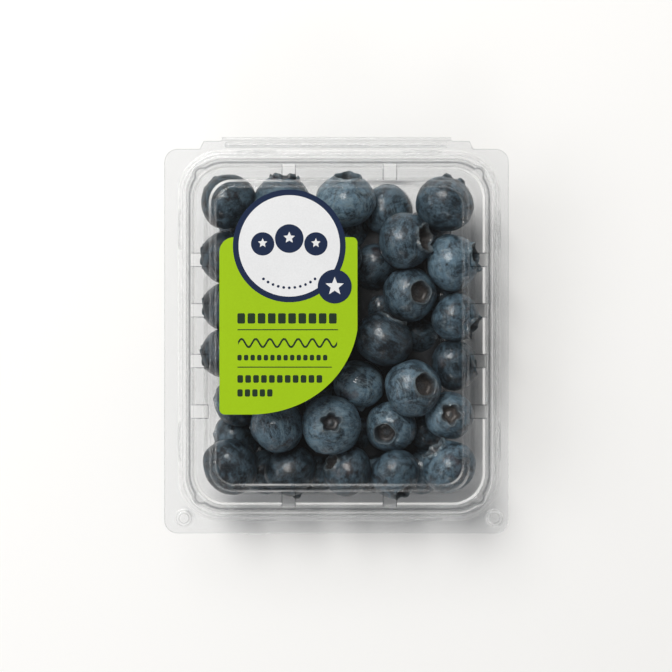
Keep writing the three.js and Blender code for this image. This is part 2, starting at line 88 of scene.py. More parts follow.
# The rib's section: reach beside its middle, rise and the painted highlight along its fold
RIB_ROWS = [(0.95, 0.0, 0.0), (0.7, 0.0, 0.25), (0.5, 0.55, 0.1), (0.25, 0.9, 0.0), (0.06, 1.0, 0.15)]
# The openings in the ledge: from inner to outer, on a form that is so much deeper than wide
VENT = {"width": 3.8, "inner": 39.6, "outer": 45.1, "deeper": 7.5, "lift": 0.8, "cut": 1.25, "edge": 0.4}
VENT_SIDES = [-22.95, -7.66, 7.66, 22.95]
VENT_ENDS = [-15.3, 15.3]
# Short ribs on the rim's outer wall
SNAP = {
    "half": 6.2, "z": 29.6, "reach": 0.5, "height": 0.6, "side": 32.1, "end": 25.0,
    "inner": 47.6, "outer": 49.5, "deeper": 7.25,
}
SNAP_STEPS = (4.4, 5.2, 5.7, 6.0, 6.15, 6.2)
# Round pips at the step's corners: the corners' middles, the pip's place out from there, and its fading
PIP = {"x": 34.45, "y": 41.5, "out": 10.0, "ramp": 0.9, "starts": 7.0, "full": 9.0, "ends": 13.4}
TRAY_PIP = {"radius": 2.8, "low": 27.7, "wall": 12.0}
LID_PIP = {"radius": 2.0, "low": LEDGE + 0.1, "wall": 10.7}
# Round studs near the front corners: place, flare, taper, flat top and fillet, then radius, foot and top
BUTTON = {"x": 47.0, "y": -55.2, "flare": 0.9, "taper": 0.2, "flat": 0.3, "fillet": 0.45, "steps": 8}
TRAY_BUTTON = (1.85, TRAY_TOP, 28.6)
LID_BUTTON = (2.65, LID_TOP, 29.5)
# Heights at which a wall needs one more ring
TRAY_RINGS = (28.6, 28.9)
LID_RINGS = (29.05, 29.15, 29.3, 29.45, 29.6, 29.75, 29.9, 30.05, 30.15, LEDGE + VENT["lift"])
FOOT_BEND = 4.5
EDGE = 0.3
# Flat sheet kept round a form, inside the dome's top fold and inside the floor's edge
MARGIN = 2.0
DOME_FLAT = 2.5
FLOOR_FLAT = 1.0
# How far from its ends the pocket's wall gets the painted shade it has between them
WALL_END = 2.0

# Painted light along the fold at each ring: a painted white highlight above 0, painted dark shade below 0,
# and most at 2 either way
TRAY_FOLD_LIGHTS = [0.0, 0.2, 0.1, 0.7, 0.0, 0.3, 0.0]
LID_FOLD_LIGHTS = [0.0, 0.45, 0.1, -1.1, 1.05, 1.0, 0.1, 1.0, 0.0]
BUTTON_FOLD_LIGHTS = [0.0, 0.2, 0.1, 0.0]
FLANGE_FOLD_LIGHT = -0.3
VENT_PAINTED_SHADE = -1.5
WALL_PAINTED_SHADE = -0.2
FOOT_PAINTED_HIGHLIGHT = 0.3
DOME_FOLD_LIGHT = 0.1
# Where a fold gets more painted light, as x, y, reach and strength: painted glints are white and painted
# shades dark
FOOT_PAINTED_GLINTS = [
    (-35.5, 44.0, 6.0, 1.7), (37.9, -44.4, 3.6, 1.0), (-22.0, -46.9, 9.0, 1.0), (4.0, -46.9, 14.0, 0.5),
    (-22.0, 46.9, 8.0, 0.7),
]
TOP_PAINTED_GLINTS = [(36.0, -43.4, 3.4, 1.1), (-22.0, -45.0, 9.0, 1.0), (4.0, -45.0, 14.0, 0.6)]
PAINTED_SHADES = [(-18.0, -46.3, 17.0, 2.0), (16.5, 46.3, 6.0, 1.6)]
FLANGE_PAINTED_GLINTS = [(-24.5, -60.0, 3.6, 1.3), (50.5, -57.5, 2.6, 1.1)]
# How thin the sheet is drawn on the dome's wall and over the rim, and the half widths of the rings there
DOME_THIN = 0.9
DOME_BAND = (36.35, 39.8)
RIM_THIN = 0.8
RIM_BAND = (44.35, 48.8)
# Steps round a corner, a fillet and the pocket's foot, and the room beside a fillet
CORNER_STEPS = 36
FILLET_STEPS = 5
FOOT_STEPS = 8
GUARD = 0.25
CLOSE = 0.01
FILLET_ROOM = 0.8

# Berries, in millimetres
BERRY_GAP = 0.3
HEAP_TOP = 33.0
# How they settle: how near two may come against their sizes, the steps, how far a low berry sinks at each
# step, and how strongly a top berry is held at its place
TOUCH = 0.91
SETTLE_STEPS = 400
CALM_STEPS = 100
SINK = 0.06
HOLD = 0.3
# Top layer: x, y, z, diameter, the crown's direction in plan and tilt from upright, its kind, and how much
# bloom the berry has, from 0 to 1
TOP_BERRIES = [
    (-33.0, 40.8, 21.0, 17.4, 135, 122, "b", 0.22), (-16.4, 40.6, 20.5, 18.0, 85, 94, "c", 0.56),
    (2.8, 41.0, 21.5, 18.4, 86, 72, "a", 1.0), (15.6, 38.4, 13.0, 15.8, 200, 150, "b", 0.56),
    (32.9, 39.9, 20.5, 18.0, 70, 124, "c", 0.44), (-33.9, 23.8, 20.0, 16.2, 176, 98, "b", 0.0),
    (-17.4, 24.3, 23.8, 17.0, 40, 60, "d", 0.56), (-0.5, 23.6, 21.5, 16.6, 300, 30, "b", 0.56),
    (11.8, 21.0, 14.0, 15.0, 120, 140, "c", 0.22), (20.9, 28.8, 24.0, 17.6, 8, 54, "c", 0.44),
    (35.5, 22.2, 21.0, 17.6, 14, 72, "c", 0.78), (-33.9, 8.9, 19.5, 15.0, 180, 98, "b", 0.0),
    (-18.2, 8.6, 21.5, 16.8, 250, 40, "d", 0.56), (-3.0, 7.4, 23.8, 16.8, 60, 100, "b", 0.56),
    (22.4, 12.6, 21.0, 16.6, 10, 26, "a", 0.56), (36.2, 5.6, 20.0, 15.4, 332, 70, "c", 0.56),
    (-34.4, -5.4, 20.0, 15.2, 190, 98, "b", 0.0), (-19.8, -7.6, 23.6, 17.0, 100, 55, "c", 0.56),
    (-5.6, -9.0, 17.0, 15.4, 20, 120, "b", 0.56), (14.2, -1.2, 23.6, 18.0, 64, 84, "a", 0.11),
    (35.9, -8.9, 18.0, 15.8, 6, 84, "b", 0.11), (-29.9, -20.0, 17.0, 15.4, 160, 120, "a", 0.33),
    (6.2, -14.4, 19.0, 16.0, 260, 118, "c", 1.0), (22.8, -17.0, 24.1, 17.6, 17, 30, "a", 0.67),
    (-17.8, -27.6, 23.6, 17.2, 200, 125, "b", 0.67), (-1.5, -27.6, 23.8, 18.2, 90, 7, "d", 0.78),
    (17.2, -28.8, 18.0, 15.8, 225, 24, "a", 0.78), (34.0, -24.4, 19.0, 14.8, 60, 6, "b", 0.78),
    (-32.2, -39.8, 21.0, 17.6, 30, 124, "a", 0.11), (-14.2, -40.6, 19.0, 16.4, 300, 118, "c", 0.0),
    (3.2, -40.8, 19.5, 16.0, 150, 58, "d", 0.22), (17.6, -41.4, 18.5, 15.6, 300, 66, "b", 0.44),
    (34.2, -39.9, 21.5, 17.0, 130, 76, "c", 0.67),
]
# Low layer: x, y and diameter
LOW_BERRIES = [
    (-23.6, -42.0, 13.8), (-5.5, -42.0, 13.6), (10.6, -42.0, 13.2), (26.4, -42.0, 14.0),
    (-29.0, -28.5, 15.4), (-15.0, -26.0, 16.0), (5.0, -26.5, 15.2), (31.0, -27.0, 15.2),
    (-21.0, -11.0, 16.2), (-5.0, -11.0, 16.0), (12.0, -10.0, 15.6), (28.0, -12.0, 16.0),
    (-30.0, 3.0, 15.6), (-13.0, 4.0, 15.6), (2.0, 4.0, 15.2), (20.0, 3.0, 15.8),
    (-22.0, 18.0, 16.2), (-5.0, 18.0, 15.6), (13.0, 12.0, 15.2), (33.0, 12.0, 15.4),
    (-28.0, 33.0, 16.4), (-11.0, 33.0, 16.4), (4.0, 32.0, 15.8), (27.0, 31.0, 15.8),
]
LOW_Z = 9.0
LOW_BLOOM = 0.4
# A berry's body, in radii: rings, the angle where the crown starts, how round and tall, and the stem's dimple
BODY = {"rings": 15, "end": 0.86, "round": 0.94, "tall": 0.86, "dimple": 0.05, "dimple_reach": 0.2}
STEM_END = -0.815
# Waves of the skin, as how many to a radius and how high
LUMPS = ((1.3, 0.04), (3.4, 0.014))
TORN = 9
# The crown's kinds, in radii: its points and notches from the axis, their heights, and the hollow
CROWN_PARTS = ("tip", "notch", "rise", "low", "pit", "floor", "ragged")
CROWN_ROWS = {
    "a_cup": (0.45, 0.41, 0.895, 0.865, 0.36, 0.53, 0.05),
    "b_star": (0.48, 0.33, 0.88, 0.81, 0.29, 0.54, 0.07),
    "c_ragged": (0.49, 0.38, 0.925, 0.83, 0.33, 0.50, 0.12),
    "d_small": (0.38, 0.28, 0.885, 0.82, 0.24, 0.60, 0.04),
}
CROWN_KINDS = {name: dict(zip(CROWN_PARTS, row)) for name, row in CROWN_ROWS.items()}
TEMPLATE = {"sides": 45, "seed": 11, "low_sides": 25, "low_seed": 31}
LUMP_HEIGHT = 0.0011
CORE = {"x": 30.5, "y": 37.5, "z": 5.5, "middle": 9.0, "lump": 0.14, "lumps": 4.2}

# Label, in millimetres
PANEL = {"left": -35.2, "right": 6.3, "top": 29.6, "bottom": -23.7, "corner": 1.6, "top_left": 4.4}
SWEEP = [(-26.0, -23.7), (-10.0, -23.7), (3.6, -14.0), (6.3, 1.8)]
BADGE = {"x": -14.2, "y": 27.0, "radius": 16.95, "inside": 15.25}
DISC = {"x": -0.55, "y": 14.8, "radius": 5.1, "star": 2.9, "notch": 1.25}
LABEL_FOOT = 38.05
LABEL_TOP = 38.25
INK = 0.02
GREEN, NAVY, PAPER, DARK = range(4)
# The badge's motif of three spots: x, y and radius, each with a star in it, and its arc of dots
SPOTS = [(-22.2, 27.6, 3.5), (-14.2, 29.2, 4.3), (-6.2, 27.6, 3.5)]
DOTS = {"count": 11, "start": -128, "step": 7.6, "reach": 12.6, "radius": 0.42}
# Plain bars where words would be, from the left: how many, from one to the next, width, middle and height
BARS = [
    (10, 3.06, 2.3, 5.2, 3.1), (14, 1.98, 1.3, -6.6, 1.7), (11, 2.38, 1.7, -13.0, 2.3),
    (5, 2.24, 1.6, -17.2, 2.2),
]
BARS_LEFT = -29.8
# Thin lines between them: right end and height on the label, and the wavy one
LINES = [(0.5, 1.8), (-1.4, -9.45)]
LINE = 0.3
WAVE = {"left": -29.6, "right": 0.2, "y": -2.2, "height": 2.4, "thickness": 1.1, "turns": 7, "steps": 96}


# ---- settings a user would change ----


def colour_setting(name, description, *shade):
    """A setting for a colour, from its shares of red, green and blue."""
    return bpy.props.FloatVectorProperty(
        name=name, description=description, subtype="COLOR", size=4, min=0.0, max=1.0,
        default=(*shade, 1.0),
    )


class PackSettings(bpy.types.PropertyGroup):
    sheet: bpy.props.FloatProperty(
        name="Sheet", description="Thickness of the clear sheet", default=0.0004,
        unit="LENGTH", precision=5,
    )
    fillet: bpy.props.FloatProperty(
        name="Fillet", description="Rounding of the folds in the sheet", default=0.0006,
        unit="LENGTH", precision=5,
    )
    tint: colour_setting("Tint", "Colour of the clear sheet", 0.972, 0.974, 0.976)
    thin: bpy.props.FloatProperty(
        name="Thinness", description="How little the sheet bends what is behind it", default=0.64,
        min=0.0, max=1.0, subtype="FACTOR",
    )
    # How strong the painted highlights and painted shade along the sheet's folds are
    creases: bpy.props.FloatProperty(
        name="Creases", description="How much the folds in the sheet show", default=0.42,
        min=0.0, max=0.5, subtype="FACTOR",
    )
    haze: bpy.props.FloatProperty(
        name="Haze", description="How milky the clear sheet is", default=0.006,
        min=0.0, max=1.0, subtype="FACTOR",
    )


class BerrySettings(bpy.types.PropertyGroup):
    size: bpy.props.FloatProperty(
        name="Size", description="Size of each berry against its place", default=1.0, min=0.8, max=1.0,
        subtype="FACTOR",
    )
    seed: bpy.props.IntProperty(
        name="Seed", description="Start of the berries' chance differences", default=7
    )
    skin: colour_setting("Skin", "Colour of rubbed skin", 0.0045, 0.0078, 0.012)
    bloom: colour_setting("Bloom", "Colour of the pale bloom on the skin", 0.078, 0.132, 0.176)
    pit: colour_setting("Pit", "Colour inside the crown", 0.050, 0.042, 0.037)


class LabelSettings(bpy.types.PropertyGroup):
    panel: colour_setting("Panel", "Colour of the panel", 0.33, 0.535, 0.002)
    badge: colour_setting("Badge", "Colour of the badge's rim and the small disc", 0.005, 0.016, 0.055)
    paper: colour_setting("Paper", "Colour of bare paper", 0.77, 0.78, 0.80)
    print: colour_setting("Print", "Colour of the dark print", 0.012, 0.03, 0.012)


class StageSettings(bpy.types.PropertyGroup):
    floor: colour_setting("Floor", "Colour of the floor", 0.95, 0.95, 0.95)
    distance: bpy.props.FloatProperty(
        name="Distance", description="Camera's height over the flange", default=1.6, unit="LENGTH"
    )
    key: bpy.props.FloatProperty(
        name="Key", description="Power of the soft key light", default=16.0, unit="POWER"
    )
    fill: bpy.props.FloatProperty(
        name="Fill", description="Brightness of the surroundings at the horizon", default=0.6, min=0.0
    )


# ---- formed sheets ----


def placed(name, data):
    """A new object in the scene with that data."""
    made = bpy.data.objects.new(name, data)
    bpy.context.scene.collection.objects.link(made)
    return made


def columns(sides, ends):
    """The columns of a form, anticlockwise: round each corner, then places along the straight after it."""
    found = []
    for quarter in range(4):
        found += [("corner", quarter, step / CORNER_STEPS) for step in range(CORNER_STEPS + 1)]
        places = sorted(sides if quarter % 2 else ends, reverse=quarter < 2)
        found += [("straight", quarter, place) for place in places]
    return found


def ring_point(ring, column):
    """Where a column meets a ring, in millimetres from the form's middle."""
    x, y, corner, z = ring[:4]
    kind, quarter, place = column
    if kind == "straight":
        return [(place, y, z), (-x, place, z), (place, -y, z), (x, place, z)][quarter]
    angle = (quarter + place) * math.pi / 2
    across = (x - corner) * (1 if quarter in (0, 3) else -1)
    along = (y - corner) * (1 if quarter < 2 else -1)
    return (across + corner * math.cos(angle), along + corner * math.sin(angle), z)


def grown(ring, more, z):
    """A ring made that much larger all round, at height z."""
    return (ring[0] + more, ring[1] + more, ring[2] + more, z)


def between(a, b, share):
    """What lies that share of the way from one ring or point to another."""
    return tuple(p + (q - p) * share for p, q in zip(a, b))


def toward(here, other, distance):
    """The ring that far from here on the way to another, at most just short of half way."""
    length = math.hypot(other[0] - here[0], other[3] - here[3])
    return between(here, other, min(distance / length, 0.48))


def rounded(path, fillet, folds):
    """The rings with a fillet at each one between the first and the last, each with the painted highlight or
    shade of its fold.
    """
    found = [path[0] + (0.0,)]
    for before, here, after, fold in zip(path, path[1:], path[2:], folds[1:]):
        start, end = toward(here, before, fillet), toward(here, after, fillet)
        found.append(toward(here, before, fillet + GUARD) + (0.0,))
        for step in range(FILLET_STEPS + 1):
            share = step / FILLET_STEPS
            bend = between(between(start, here, share), between(here, end, share), share)
            found.append(bend + (fold * math.sin(math.pi * share) ** 2,))
        found.append(toward(here, after, fillet + GUARD) + (0.0,))
    found.append(path[-1] + (0.0,))
    return [ring for i, ring in enumerate(found) if not i or math.dist(ring[:4], found[i - 1][:4]) > 1e-4]


def split(path, heights):
    """The rings with one more wherever the wall between two of them passes one of the heights."""
    for z in heights:
        found = [path[0]]
        for before, after in zip(path, path[1:]):
            if (before[3] - z) * (after[3] - z) < 0:
                found.append(between(before, after, (z - before[3]) / (after[3] - before[3])))
            found.append(after)
        path = found
    return path


def sunk(path, thickness):
    """The rings of the sheet's other face, the sheet's thickness below or inside of the first."""
    found = []
    for i, (x, y, corner, z, fold) in enumerate(path):
        ax, az = path[max(i - 1, 0)][0], path[max(i - 1, 0)][3]
        bx, bz = path[min(i + 1, len(path) - 1)][0], path[min(i + 1, len(path) - 1)][3]
        before = Vector((x - ax, z - az)) if i else Vector((bx - x, bz - z))
        after = Vector((bx - x, bz - z)) if i + 1 < len(path) else before
        before.normalize()
        after.normalize()
        along = (before + after).normalized()
        reach = thickness / max(0.5, along.dot(after))
        out, up = along.y * reach, -along.x * reach
        found.append((x - out, y - out, corner - out, z - up, fold))
    return found


def push_pips(point, radius, low, wall):
    """Round pips bulge outwards from the wall at the form's four corners."""
    x, y, z = point
    dx, dy = abs(x) - PIP["x"], abs(y) - PIP["y"]
    if dx <= 0 or dy <= 0 or z < low:
        return point
    away, turn = math.hypot(dx, dy), math.atan2(dy, dx) - math.pi / 4
    inside = radius ** 2 - (PIP["out"] * math.sin(turn)) ** 2
    if inside <= 0:
        return point
    push = PIP["out"] * math.cos(turn) + math.sqrt(inside) - wall
    push *= min(1.0, max(0.0, (z - low) / PIP["ramp"]))
    if push <= 0:
        return point
    if away < PIP["full"]:
        weight = max(0.0, (away - PIP["starts"]) / (PIP["full"] - PIP["starts"]))
    else:
        weight = min(1.0, max(0.0, (PIP["ends"] - away) / (PIP["ends"] - wall)))
    grow = 1 + push * weight / away
    return (math.copysign(PIP["x"] + dx * grow, x), math.copysign(PIP["y"] + dy * grow, y), z)


def is_in_band(point, column, band):
    """True on a straight of a form, between a band's inner and outer half width."""
    kind, quarter, _ = column
    across = abs(point[0]) if quarter % 2 else abs(point[1]) - band["deeper"]
    return kind == "straight" and band["inner"] < across < band["outer"]


def push_snaps(point, column):
    """Short ribs stand out of the rim's outer wall."""
    quarter, place = column[1:]
    x, y, z = point
    middle = SNAP["side"] if quarter % 2 else SNAP["end"]
    along = (abs(place) - middle) / SNAP["half"]
    height = (z - SNAP["z"]) / SNAP["height"]
    if abs(along) >= 1 or abs(height) >= 1 or not is_in_band(point, column, SNAP):
        return point
    out = SNAP["reach"] * math.sqrt((1 - along ** 4) * (1 - height ** 2))
    return (x + math.copysign(out, x), y, z) if quarter % 2 else (x, y + math.copysign(out, y), z)


def painted_light_strength(x, y, places):
    """How strongly painted glints or painted shades at some places show at a point."""
    return sum(gain * math.exp(-((x - a) ** 2 + (y - b) ** 2) / reach ** 2) for a, b, reach, gain in places)


def on_dome(ring):
    """True on the dome's wall and folds."""
    return DOME_BAND[0] < ring[0] < DOME_BAND[1]


def drawn_share(ring):
    """How thin the lid's sheet is drawn: most on the dome's wall, and nearly as much over the rim."""
    if on_dome(ring):
        return DOME_THIN
    return RIM_THIN if RIM_BAND[0] < ring[0] < RIM_BAND[1] else 0.0


def shown_fold(ring, point, column):
    """How much painted highlight or shade a ring's fold gets at a point: painted shade at the openings'
    edges, and on the dome mostly painted glints where it would catch the light.
    """
    if abs(vent_offset(point, column, VENT["lift"]) - VENT["width"] / 2) < CLOSE:
        return min(ring[4], VENT_PAINTED_SHADE)
    if not on_dome(ring):
        return ring[4]
    if DOME[0][3] + FILLET_ROOM < ring[3] < DOME[1][3] - FILLET_ROOM:
        return -painted_light_strength(point[0], point[1], PAINTED_SHADES)
    places = FOOT_PAINTED_GLINTS if ring[3] < DOME[1][3] - FILLET_ROOM else TOP_PAINTED_GLINTS
    return ring[4] * (DOME_FOLD_LIGHT + painted_light_strength(point[0], point[1], places))


def vent_offset(point, column, rise):
    """How far along the ledge a point lies from an opening's middle, and endless away from the ledge."""
    if abs(point[2] - LEDGE) > rise or not is_in_band(point, column, VENT):
        return math.inf
    return min(abs(column[2] - middle) for middle in (VENT_SIDES if column[1] % 2 else VENT_ENDS))


def is_vent(point, column):
    """True where the ledge is open, from the foot of the step to the foot of the dome."""
    return vent_offset(point, column, VENT["cut"]) < VENT["width"] / 2


def arc(x, y, radius, start, end, steps):
    """Points on part of a circle, anticlockwise, with both of its ends."""
    turns = [start + (end - start) * step / steps for step in range(steps + 1)]
    return [(x + radius * math.cos(a), y + radius * math.sin(a)) for a in turns]


def flange_outline():
    """The flange's outline, anticlockwise from the front left, with the finger tab and the hinge leaf."""
    side, front, back, corner = (FLANGE[k] for k in ("side", "front", "back", "corner"))
    points = [(TAB["left"], front), (TAB["left"] + TAB["slope"], front - TAB["reach"])]
    points += [(TAB["right"] - TAB["slope"], front - TAB["reach"]), (TAB["right"], front)]
    quarter, count = math.pi / 2, FLANGE["steps"]
    points += arc(side - corner, front + corner, corner, -quarter, 0, count)
    points += arc(side - corner, back - corner, corner, 0, quarter, count)
    right = [(SHOULDER["half"] + SHOULDER["slope"], back), (SHOULDER["half"], SHOULDER["end"])]
    right += [(LEAF["half"] + LEAF["slope"], SHOULDER["end"]), (LEAF["half"], LEAF["end"])]
    points += right + [(-x, y) for x, y in reversed(right)]
    points += arc(corner - side, back - corner, corner, quarter, 2 * quarter, count)
    points += arc(corner - side, front + corner, corner, 2 * quarter, 3 * quarter, count)
    return points


def drawn_in(outline, inset):
    """An outline, anticlockwise, moved inwards."""
    found = []
    for i, (x, y) in enumerate(outline):
        before, after = outline[i - 1], outline[(i + 1) % len(outline)]
        a = Vector((x - before[0], y - before[1])).normalized()
        b = Vector((after[0] - x, after[1] - y)).normalized()
        along = (a + b).normalized()
        reach = inset / max(0.5, along.dot(b))
        found.append((x - along.y * reach, y + along.x * reach))
    return found


def form(rings, shape, centre=(RING_X, 0.0), push=None, is_open=None):
    """A hollow form in a sheet: its rings and columns, and what pushes its points and opens its cells."""
    return {"rings": rings, "columns": shape, "centre": centre, "push": push, "open": is_open}


def sheet_mesh():
    """An empty mesh whose points can say how much painted highlight or shade their fold gets and how thin the
    sheet is drawn.
    """
    mesh = bmesh.new()
    for name in ("fold", "drawn"):
        mesh.verts.layers.float.new(name)
    return mesh


def grid_of(mesh, part, rings):
    """The vertices of one face of a form, ring by ring."""
    across, along = part["centre"]
    fold, drawn = (mesh.verts.layers.float[name] for name in ("fold", "drawn"))
    rows = []
    for ring in rings:
        row = []
        for column in part["columns"]:
            point = ring_point(ring, column)
            if part["push"]:
                point = part["push"](point, column)
            x, y, z = point
            vert = mesh.verts.new(((x + across) * MM, (y + along) * MM, z * MM))
            # Each vertex keeps the painted highlight or shade of its fold
            vert[fold] = shown_fold(ring, point, column) if part["open"] else ring[4]
            vert[drawn] = drawn_share(ring) if part["open"] else 0.0
            row.append(vert)
        rows.append(row)
    return rows


def open_cells(part):
    """The cells of a form's grid that are cut away."""
    if not part["open"]:
        return set()
    found, shape, rings = set(), part["columns"], part["rings"]
    for r in range(len(rings) - 1):
        middle = between(rings[r], rings[r + 1], 0.5)
        for c in range(len(shape)):
            here, after = shape[c], shape[(c + 1) % len(shape)]
            if here[0] != "straight" or after[0] != "straight" or here[1] != after[1]:
                continue
            column = ("straight", here[1], (here[2] + after[2]) / 2)
            if part["open"](ring_point(middle, column), column):
                found.add((r, c))
    return found


def skin_form(mesh, part, upper, lower):
    """Faces of a form's two sides, the walls of its openings and its end."""
    cut, count = open_cells(part), len(part["columns"])
    for r in range(len(part["rings"]) - 1):
        for c in range(count):
            d = (c + 1) % count
            if (r, c) not in cut:
                mesh.faces.new((upper[r][c], upper[r][d], upper[r + 1][d], upper[r + 1][c]))
                mesh.faces.new((lower[r][d], lower[r][c], lower[r + 1][c], lower[r + 1][d]))
                continue
            walls = (
                ((r, c - 1), (r, c), (r + 1, c)), ((r, c + 1), (r + 1, d), (r, d)),
                ((r - 1, c), (r, d), (r, c)), ((r + 1, c), (r + 1, c), (r + 1, d)),
            )
            for beside, (a, b), (p, q) in walls:
                if beside not in cut:
                    mesh.faces.new((upper[a][b], upper[p][q], lower[p][q], lower[a][b]))
    mesh.faces.new(upper[-1])
    mesh.faces.new(reversed(lower[-1]))


def formed_sheet(name, top, forms, thickness):
    """One thermoformed sheet: a flat flange at height top, with forms that rise and sink from it."""
    mesh = sheet_mesh()
    fold, outline = mesh.verts.layers.float["fold"], flange_outline()
    rows = []
    for inset, z in ((EDGE, top), (0.0, top), (0.0, top - thickness), (EDGE, top - thickness)):
        row = []
        for x, y in drawn_in(outline, inset):
            row.append(mesh.verts.new((x * MM, y * MM, z * MM)))
            # The flange's outline gets painted shade, and painted glints by the finger tab and a front corner
            row[-1][fold] = 0.0 if inset else FLANGE_FOLD_LIGHT + painted_light_strength(x, y, FLANGE_PAINTED_GLINTS)
        rows.append(row)
    for upper, lower in zip(rows, rows[1:]):
        for i in range(len(outline)):
            j = (i + 1) % len(outline)
            mesh.faces.new((lower[i], lower[j], upper[j], upper[i]))
    loops, under_loops = [rows[0]], [rows[-1]]
    for part in forms:
        upper = grid_of(mesh, part, part["rings"])
        lower = grid_of(mesh, part, sunk(part["rings"], thickness))
        skin_form(mesh, part, upper, lower)
        loops.append(upper[0])
        under_loops.append(lower[0])
    flat = [vert for loop in loops for vert in loop]
    under = [vert for loop in under_loops for vert in loop]
    for a, b, c in tessellate_polygon([[vert.co for vert in loop] for loop in loops]):
        mesh.faces.new((flat[a], flat[b], flat[c]))
        mesh.faces.new((under[c], under[b], under[a]))
    loose = [vert for vert in mesh.verts if not vert.link_faces]
    bmesh.ops.delete(mesh, geom=loose, context="VERTS")
    return finished(name, mesh)


def finished(name, mesh, sharp=40.0, turn=True):
    """An object from a mesh, its faces outwards and smooth, with sharp edges kept."""
    mesh.normal_update()
    if turn:
        bmesh.ops.recalc_face_normals(mesh, faces=mesh.faces)
    for face in mesh.faces:
        face.smooth = True
    for edge in mesh.edges:
        edge.smooth = not edge.is_manifold or edge.calc_face_angle() < math.radians(sharp)
    data = bpy.data.meshes.new(name)
    mesh.to_mesh(data)
    mesh.free()
    return placed(name, data)


# ---- materials ----

PALE_BLOOM = (0.13, 0.175, 0.195, 1.0)
RED_SKIN = (0.03, 0.012, 0.012, 1.0)
DRY_RIM = (0.105, 0.125, 0.13, 1.0)
DARK_PIT = (0.009, 0.009, 0.011, 1.0)
SHADED_SKIN = (0.004, 0.005, 0.007, 1.0)
LIT_SHEET = (0.98, 0.98, 0.98, 1.0)
# Painted highlight and painted shade for the clear sheet's folds, standing in for the light that real folds
# catch and bend
PAINTED_FOLD_HIGHLIGHT = (0.88, 0.88, 0.88, 1.0)
PAINTED_FOLD_SHADE = (0.3, 0.31, 0.33, 1.0)


def set_socket(tree, socket, value):
    """A socket gets a number or a colour, or a link from another socket."""
    if isinstance(value, bpy.types.NodeSocket):
        tree.links.new(value, socket)
    else:
        socket.default_value = value


def add_node(tree, kind, inputs=None, **settings):
    """A node with its inputs set: a key is an input's name or number, a value a number or a socket."""
    made = tree.nodes.new(kind)
    for key, value in settings.items():
        setattr(made, key, value)
    for key, value in (inputs or {}).items():
        set_socket(tree, made.inputs[key], value)
    return made


class Recipe:
    """A new material whose nodes are added one at a time."""

    def __init__(self, name):
        self.material = bpy.data.materials.new(name)
        self.material.use_nodes = True
        self.tree = self.material.node_tree
        self.shader = self.tree.nodes["Principled BSDF"]
        self.output = self.tree.nodes["Material Output"]
        self.place = self.node("ShaderNodeTexCoord").outputs["Object"]

    def node(self, kind, inputs=None, **settings):
        return add_node(self.tree, kind, inputs, **settings)

    def noise(self, scale, detail=3.0, roughness=0.55, distortion=0.0, place=None):
        inputs = {"Vector": place or self.place, "Scale": scale, "Detail": detail}
        inputs.update({"Roughness": roughness, "Distortion": distortion})
        return self.node("ShaderNodeTexNoise", inputs).outputs["Fac"]

    def spread(self, value, low, high, to_low=0.0, to_high=1.0):
        """A value spread from one range to another, and held inside it."""
        inputs = {"Value": value, "From Min": low, "From Max": high, "To Min": to_low, "To Max": to_high}
        return self.node("ShaderNodeMapRange", inputs).outputs["Result"]

    def blend(self, share, low, high):
        """A colour between two."""
        return self.node("ShaderNodeMix", {0: share, 6: low, 7: high}, data_type="RGBA").outputs[2]

    def sum(self, operation, a, b):
        return self.node("ShaderNodeMath", {0: a, 1: b}, operation=operation).outputs[0]

    def added(self, first, *others):
        """The sum of two or more values."""
        for other in others:
            first = self.sum("ADD", first, other)
        return first

    def part(self, value, weight, middle=0.0):
        """A value's distance from its middle, times a weight."""
        return self.sum("MULTIPLY", self.sum("SUBTRACT", value, middle), weight)

    def vector(self, operation, a, b=(0.0, 0.0, 0.0), **inputs):
        return self.node("ShaderNodeVectorMath", {0: a, 1: b, **inputs}, operation=operation).outputs[0]

    def mixed(self, share, a, b):
        """A shader between two."""
        return self.node("ShaderNodeMixShader", {0: share, 1: a, 2: b}).outputs[0]

    def attribute(self, name, output="Fac"):
        return self.node("ShaderNodeAttribute", attribute_name=name).outputs[output]

    def plain(self, kind, shade):
        """A simple shader of one colour."""
        return self.node("ShaderNodeBsdf" + kind, {"Color": shade}).outputs[0]

    def bump(self, height, strength, distance=0.0002):
        inputs = {"Height": height, "Strength": strength, "Distance": distance}
        set_socket(self.tree, self.shader.inputs["Normal"], self.node("ShaderNodeBump", inputs).outputs[0])

    def finish(self, **inputs):
        for key, value in inputs.items():
            set_socket(self.tree, self.shader.inputs[key.replace("_", " ")], value)
        return self.material


